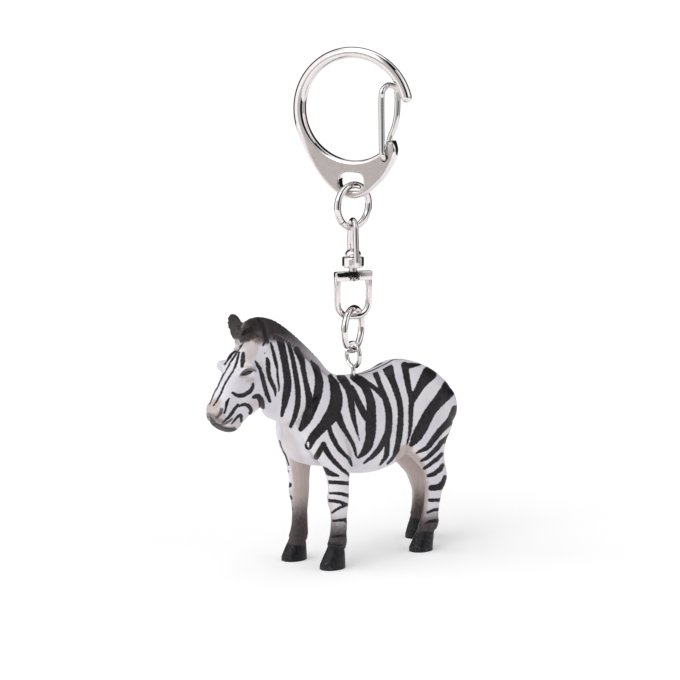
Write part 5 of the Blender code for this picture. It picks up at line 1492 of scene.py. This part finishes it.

# %% Legs, brow and hooves
# Heights over the soles, in mm: where a leg's beige shade and dark spray start and are full, and where its
# smoke ends
MID_BODY, LEG_FORE, LEG_HIND = 5 * MM, (28.5, 25), (25, 21)
SMOKE_FORE, SMOKE_FAR_FORE, SMOKE_INNER_HIND, SMOKE_HIND = 16.5, 21, 18.0, 13.0
SMOKE_FULL_FORE, SMOKE_FULL_HIND, SMOKE_SHARE, INNER_SHARE = 8.0, 6.0, 0.92, 0.9
high = (points[:, 2] - SOLE_Z) / MM
inward, fore = ways[:, 1], points[:, 0] < MID_BODY
leg = np.where(fore, ease(high, *LEG_FORE), ease(high, *LEG_HIND))
# Painted shade: the sides of the legs that face the midline turn beige
inner = np.where(fore, ease(inward, 0.15, 0.50), ease(inward, -0.05, 0.40)) * leg
beige_and_shade = np.maximum(beige_and_shade, INNER_SHARE * inner)
far_fore = fore & (points[:, 1] > 0)
smoke_top = np.where(fore, np.where(far_fore, SMOKE_FAR_FORE, SMOKE_FORE),
                     np.where(inward > 0.1, SMOKE_INNER_HIND, SMOKE_HIND))
smoke = ease(high, smoke_top, np.where(fore, SMOKE_FULL_FORE, SMOKE_FULL_HIND)) * leg * SMOKE_SHARE
soot = np.maximum(soot, smoke)
# The front of the far brow is plain in the photograph
far_front = (head_places(points)[2] > 0) * ease(-(normals @ np.array(cheek_way)), -0.62, -0.42)
soot *= 1 - 0.85 * far_front * head * ease(from_eye, 16, 12)
# Each hoof's black paint ends at its own height in the photograph
BLACK_NEAR_FORE, BLACK_NEAR_HIND, BLACK_FAR_FORE, BLACK_FAR_HIND = 6.3, 3.7, 3.6, 4.4
black_top = np.where(points[:, 1] < 0, np.where(fore, BLACK_NEAR_FORE, BLACK_NEAR_HIND),
                     np.where(fore, BLACK_FAR_FORE, BLACK_FAR_HIND))
hoof = high - black_top + (places[:, 0] - ankle) / MM * HOOF_SLOPE
print("black share:", round(float((hoof < 0).mean()), 3))

# %% Ears, dark behind and beige in the hollow
EAR_GLOW = [
    (0.80, 4.0, [(251, 351, 7), (257, 348.5, 5)]), (0.46, 4.0, [(254, 344.5, 6), (258, 341.5, 5)]),
    (0.16, 3.0, [(257, 338, 5), (258, 335, 6)])]
EAR_ASIDE, EAR_AHEAD, EAR_DOWN, EAR_BLACK = 3.2, 2.2, 4 * MM, 0.99
ear_place = np.full(len(points), -1.0)
for number, (foot, rise, wide, front) in enumerate(ear_axes):
    local = (points - np.array(foot)) / MM
    along, aside, ahead = local @ np.array(rise), local @ np.array(wide), local @ np.array(front)
    on_ear = (along > 0) & (np.abs(aside) < EAR_ASIDE) & (np.abs(ahead) < EAR_AHEAD)
    on_ear &= head_places(points)[0] < EAR_DOWN
    hollow = ease(normals @ np.array(front), -0.1, 0.5)
    share = np.clip(along / (EAR_HIGH / MM), 0, 1)
    glow = np.max([strength * ease(stroke_gap(pixels, stroke), soft, 0)
                   for strength, soft, stroke in EAR_GLOW], 0)
    dark = np.where(number == 0, EAR_BLACK - glow * hollow, EAR_BLACK - 0.08 * hollow * (1 - share))
    above_foot = ease(along, 0.2, 1.8)
    soot = np.where(on_ear, soot * (1 - above_foot) + dark * above_foot, soot)
    beige_and_shade = np.where(on_ear, np.maximum(beige_and_shade, above_foot * 0.8), beige_and_shade)
    ear_place = np.where(on_ear & (along > 0.5), share, ear_place)
print("points of the ears:", int((ear_place >= 0).sum()))

# %% The mane's colour, down to its edge in the photograph
MANE_EDGE = [
    (262, 330), (266, 337.5), (270.7, 341), (277, 341.2), (287.9, 343.2), (293.6, 348.3), (305.3, 353),
    (315.5, 362), (327, 373)]
# Along the crest, the mane's grey thins out towards the back
MANE_FADE = [(285, 0), (300, 0.18), (308, 0.36), (318, 0.55), (327, 0.85), (334, 1)]
edge = pixels[:, 1] - np.interp(pixels[:, 0], *np.array(MANE_EDGE).T)
# On the neck it lies within these depths of the crest, in mm, and ends before this column
MANE_SIDE, MANE_CREST, MANE_END = (6.0, 4.6), (2.6, 1.9), 332
mane = ease(edge, 2.6, -2.2) * ease(depth, *MANE_SIDE) * (pixels[:, 0] < MANE_END) * (ear_place < 0)
mane = np.maximum(mane, ease(depth, *MANE_CREST) * (ear_place < 0))
mane *= 1 - ease(pixels[:, 0], 255, 251) * ease(pixels[:, 1], 319, 324)
mane *= 1 - np.interp(pixels[:, 0], *np.array(MANE_FADE).T)
print("soot, warm, mane:", *(round(float(m.mean()), 3) for m in (soot, beige_and_shade, mane)))

# %% [markdown]
# ## One field for all stripes
# The strokes are joined by taking the smallest distance of all. Where two sides of the figure differ,
# the field is raised, which ends a stripe softly: in front of the chest, inside the legs and under the
# belly. The line along the back and the tail's bands follow the form, not the photograph.

# %% Stripes of the head and the near side
NOSE_HALF, NOSE_DEEP = 3.2 * MM, 0.4
seen = to_pixels(points)
down, inset, out = head_places(points)
gap = np.where(head, strokes_gap(pixels, HEAD_STROKES + NECK_STROKES[:HEAD_SHARE]),
               strokes_gap(pixels, BODY_STROKES))
gap = np.minimum(gap, strokes_gap(pixels, EAR_RIM))
to_camera = np.array(eye_place) - points
facing = (normals * to_camera).sum(1) / np.linalg.norm(to_camera, axis=1)
on_nose = head & (facing > 0) & (np.abs(out) < NOSE_HALF) & (inset < NOSE_DEEP * HEAD_DEEP)
nose_gap = strokes_gap(seen, NOSE_LINES) + 2.5 * ease(facing, 0.16, 0.04)
gap = np.where(on_nose, np.minimum(gap, nose_gap), gap)
print("striped share:", round(float((gap < 0).mean()), 3))

# %% Where stripes end on the chest, the back and the belly
# BARE lifts the field by half the widest stripe, which ends any stripe there
BARE, BARE_LEG, DORSAL_HALF = 8, 9, 0.30
beside, behind = np.abs(points[:, 1]) / MM, points[:, 0] / MM
gap += BARE * ease(-ways[:, 0], 0.25, 0.55) * ease(points[:, 1] / MM, 0, 0.6) * ease(high, 20, 23) * ~head
gap += BARE_LEG * ease(facing, -0.12, 0.10) * far_fore * ease(high, 27, 25) * ease(high, 11, 13)
on_chest = ~head & (points[:, 1] > 0) & (facing > 0)
chest_gap = strokes_gap(seen, CHEST_LINES) + 1.3 * ease(points[:, 1] / MM, 3.0, 1.6)
gap = np.where(on_chest, np.minimum(gap, chest_gap), gap)
dorsal = (beside - DORSAL_HALF) / 0.25 + BARE * ease(ways[:, 2], 0.5, 0.2) + BARE * ease(behind, 1, -1)
gap += BARE * ease(beside, 1.6, 1.1) * ease(ways[:, 2], 0.4, 0.65) * ease(behind, 1, 4) * ~head
gap = np.where(head, gap, np.minimum(gap, dorsal))
# A bare spot in the end of the shoulder's widest stripe
BARE_SPOT = [(308.2, 442.6, 2.0), (308.2, 446.4, 2.0)]
gap = np.where(head | (points[:, 1] > 0), gap, np.maximum(gap, -1.6 * stroke_gap(pixels, BARE_SPOT)))
gap += BARE * inner + 6 * ease(-ways[:, 2], 0.80, 0.97) * ~head * ease(high, 18, 22)
print("striped share:", round(float((gap < 0).mean()), 3))

# %% The tail's bands
TAIL_BAND, BLACK_HALF, TAIL_REACH, RUMP, TAIL_SIDE, TAIL_TOP = 1.9, 0.24, (1.75, 1.35), 24, 1.6 * MM, 27
tail_line = np.array([SOLE + p for p in tail_spots])
off = np.min([np.linalg.norm(points - p, axis=1) for p in tail_line], axis=0) / MM
tail = ease(off, *TAIL_REACH) * (behind > RUMP) * (np.abs(points[:, 1]) < TAIL_SIDE)
bands = (np.abs((high / TAIL_BAND) % 1 - 0.5) - BLACK_HALF) * TAIL_BAND / 0.25
gap = gap * (1 - tail) + bands * tail
soot = np.where(high < TAIL_TOP, np.maximum(soot, tail * 0.95), soot)
print("striped share:", round(float((gap < 0).mean()), 3))

# %% [markdown]
# ## Hollows and ridges
# Painted shade darkens the coat in hollows, and the hooves' black paint wears off ridges. Each point
# is compared with the mean of its neighbours: the part of the difference along the normal says how hollow
# the skin is there. Six rounds of the same mean smooth it. The pointiness that Cycles offers would change
# with the mesh's density, and this mesh is finer on the head.

# %% Hollows and ridges
edges = np.zeros(len(zebra.data.edges) * 2, np.int32)
zebra.data.edges.foreach_get("vertices", edges)
a, b = edges.reshape(-1, 2).T
count = np.bincount(np.r_[a, b], minlength=len(points))[:, None]


def around(values):
    """The mean of each point's neighbours."""
    total = np.zeros_like(values)
    np.add.at(total, a, values[b])
    np.add.at(total, b, values[a])
    return total / np.maximum(count, 1)


CURVE_ROUNDS, CURVE_GAIN = 6, 60
curved = ((around(points) - points) * normals).sum(1, keepdims=True) / MM
for turn in range(CURVE_ROUNDS):
    curved = around(curved)
# How hollow the skin is: it drives painted shade in the hollows and wear on the hooves' ridges
hollows = np.clip(curved[:, 0] * CURVE_GAIN, -1, 1)
MASKS = {"stripe": gap, "soot": soot, "beige_and_shade": beige_and_shade, "mane": mane, "depth": depth,
         "roots": ease(edge, -9.5, -2.5), "comb": comb, "hoof": hoof, "eye": inside - 4 * far_front,
         "hollow": hollows, "ear": ear_place}
for name, values in MASKS.items():
    store(zebra.data, name, np.clip(values, -30, 60))
print("hollows:", round(float(hollows.min()), 2), round(float(hollows.max()), 2))

# %% [markdown]
# ## The coat
# The plastic is white with a breath of lilac. Warm beige, thin dark spray, stripes, mane and hooves go
# over it in the order in which they were painted, and painted shade darkens the hollows and turns the
# inner legs beige. Each stripe's edge wanders a little, as a brush does, and its black is a dark
# violet-brown that shines where the paint lies thick.

# %% Tools of the coat, with colours as the photograph shows them


def srgb(r, g, b):
    """A colour read from the photograph, in the renderer's linear values."""
    return (*((c / 255 / 12.92 if c < 10.3 else ((c / 255 + 0.055) / 1.055) ** 2.4) for c in (r, g, b)), 1)


coat = bpy.data.materials.new("painted_coat")
coat.use_nodes = True
tree = coat.node_tree


def blend(factor, first, second):
    """One colour over another, by a factor."""
    return add(tree, "ShaderNodeMix", {0: factor, 6: first, 7: second}, data_type="RGBA").outputs[2]


def maths(operation, *values):
    """One Math node's result."""
    return add(tree, "ShaderNodeMath", dict(enumerate(values)), operation=operation).outputs[0]


def fade(value, start, end, low=0.0, high=1.0):
    """A smooth step from low at start to high at end."""
    return add(tree, "ShaderNodeMapRange", {
        "Value": value, "From Min": start, "From Max": end, "To Min": low, "To Max": high},
        interpolation_type="SMOOTHSTEP").outputs[0]


def noise(scale, detail=2.0, vector=None):
    """Noise with the given number of cells in a metre."""
    return add(tree, "ShaderNodeTexNoise", {
        "Vector": vector or place, "Scale": scale, "Detail": detail}).outputs[0]


def painted(name):
    """A number that was kept on the mesh."""
    return add(tree, "ShaderNodeAttribute", attribute_name=name).outputs["Fac"]


place = add(tree, "ShaderNodeTexCoord").outputs["Object"]
print("masks of the coat:", ", ".join(MASKS))

# %% Brush marks and hair
# Cells in a metre: the fur's, drawn out upright, and the broad, fine and finest grain of the paint
FUR_CELLS, BROAD_CELLS, FINE_CELLS, SPECK_CELLS, FUR_STRETCH = 2600.0, 160.0, 1400.0, 5200.0, (1.0, 1.0, 0.12)
strand = add(tree, "ShaderNodeCombineXYZ", {0: maths("MULTIPLY", painted("comb"), 2.2),
                                            1: maths("MULTIPLY", painted("depth"), 0.25)}).outputs[0]
hair = noise(1.0, 4.0, strand)
streak = add(tree, "ShaderNodeMapping", {"Vector": place, "Scale": FUR_STRETCH}).outputs[0]
fur = noise(FUR_CELLS, 3.0, streak)
broad, fine, speck = noise(BROAD_CELLS, 3.0), noise(FINE_CELLS, 3.0), noise(SPECK_CELLS, 2.0)
edge_noise = maths("MULTIPLY", maths("SUBTRACT", fine, 0.5), 1.6)
stripe = fade(maths("ADD", painted("stripe"), edge_noise), 0.55, -0.35)
print("painted_coat has", len(tree.nodes), "nodes")

# %% The coat's colours, in the order of the paint
white = blend(fade(broad, 0.35, 0.65), srgb(222, 217, 226), srgb(231, 228, 232))
# Painted shade: the coat darkens towards a grey-brown in the skin's hollows
white = blend(maths("MULTIPLY", fade(painted("hollow"), 0.05, 0.7), 0.45), white, srgb(170, 158, 156))
# The beige is paint on the head and the ears, and painted shade on the inner legs
beige = blend(fur, srgb(168, 152, 146), srgb(205, 190, 182))
colour = blend(painted("beige_and_shade"), white, beige)
spray = maths("ADD", painted("soot"), maths("MULTIPLY", maths("SUBTRACT", fine, 0.5), 0.25))
soot_colour = blend(fur, srgb(44, 38, 40), srgb(80, 70, 69))
soot_colour = blend(fade(painted("ear"), 0.35, 1.0, 0.0, 0.65), soot_colour, srgb(20, 18, 20))
spray_mask = maths("MULTIPLY", fade(spray, 0.0, 1.0), fade(painted("soot"), 0.0, 0.05))
colour = blend(spray_mask, colour, soot_colour)
ink = blend(fade(fine, 0.35, 0.7), srgb(22, 19, 23), srgb(42, 37, 43))
colour = blend(stripe, colour, ink)
mane_colour = blend(painted("roots"), srgb(52, 47, 49), srgb(116, 108, 111))
mane_colour = blend(fade(hair, 0.40, 0.60, 0.0, 0.8), mane_colour, srgb(58, 50, 52))
over = maths("MULTIPLY", painted("mane"), maths("SUBTRACT", 1.0, maths("MULTIPLY", stripe, 0.6)))
colour = blend(over, colour, mane_colour)
black = blend(fine, srgb(18, 17, 20), srgb(36, 34, 38))
hoof_mask = fade(maths("ADD", painted("hoof"), maths("MULTIPLY", edge_noise, 0.3)), 0.35, -0.25)
colour = blend(hoof_mask, colour, black)
rubbed = maths("MULTIPLY", fade(painted("hollow"), -0.35, -0.9), fade(fine, 0.5, 0.7, 0.0, 0.35))
colour = blend(maths("MULTIPLY", rubbed, hoof_mask), colour, srgb(120, 116, 114))
eye_mask = fade(painted("eye"), 0.0, 0.7)
iris = blend(fade(painted("eye"), 0.8, 2.4), srgb(22, 17, 16), srgb(66, 54, 50))
colour = blend(eye_mask, colour, iris)
print("painted_coat has", len(tree.nodes), "nodes")

# %% The coat's sheen and relief
PAINT_BUMP, PAINT_HIGH, COAT_IOR, COAT_SPECULAR = 0.6, 0.00010, 1.45, 0.28
inked = maths("MAXIMUM", stripe, hoof_mask)
roughness = maths("ADD", fade(fine, 0.3, 0.7, 0.42, 0.54), maths("MULTIPLY", inked, -0.08))
roughness = maths("ADD", roughness, maths("MULTIPLY", painted("mane"), 0.08))
roughness = maths("MULTIPLY", roughness, maths("SUBTRACT", 1.0, maths("MULTIPLY", eye_mask, 0.85)))
height = maths("MULTIPLY", speck, 0.10)
height = maths("ADD", height, maths("MULTIPLY", stripe, 0.10))
height = maths("ADD", height, maths("MULTIPLY", maths("MULTIPLY", hair, painted("mane")), 1.4))
height = maths("ADD", height, maths("MULTIPLY", maths("MULTIPLY", fur, painted("beige_and_shade")), 0.5))
height = maths("MULTIPLY", height, maths("SUBTRACT", 1.0, eye_mask))
bump = add(tree, "ShaderNodeBump", {
    "Strength": PAINT_BUMP, "Distance": PAINT_HIGH, "Height": height}).outputs["Normal"]
shader = tree.nodes["Principled BSDF"]
for key, value in (("Base Color", colour), ("Roughness", roughness), ("Normal", bump)):
    tree.links.new(value, shader.inputs[key])
shader.inputs["IOR"].default_value = COAT_IOR
shader.inputs["Specular IOR Level"].default_value = COAT_SPECULAR
zebra.data.materials.clear()
zebra.data.materials.append(coat)
print("painted_coat has", len(tree.nodes), "nodes")

# %% [markdown]
# ## Into the frame
# The figure takes the place of its solid on its own body, so it swings with the screw eye.

# %% Dress the figure
for face in zebra.data.polygons:
    face.use_smooth = True
dress(zebra, "figure", "zebra_figure")
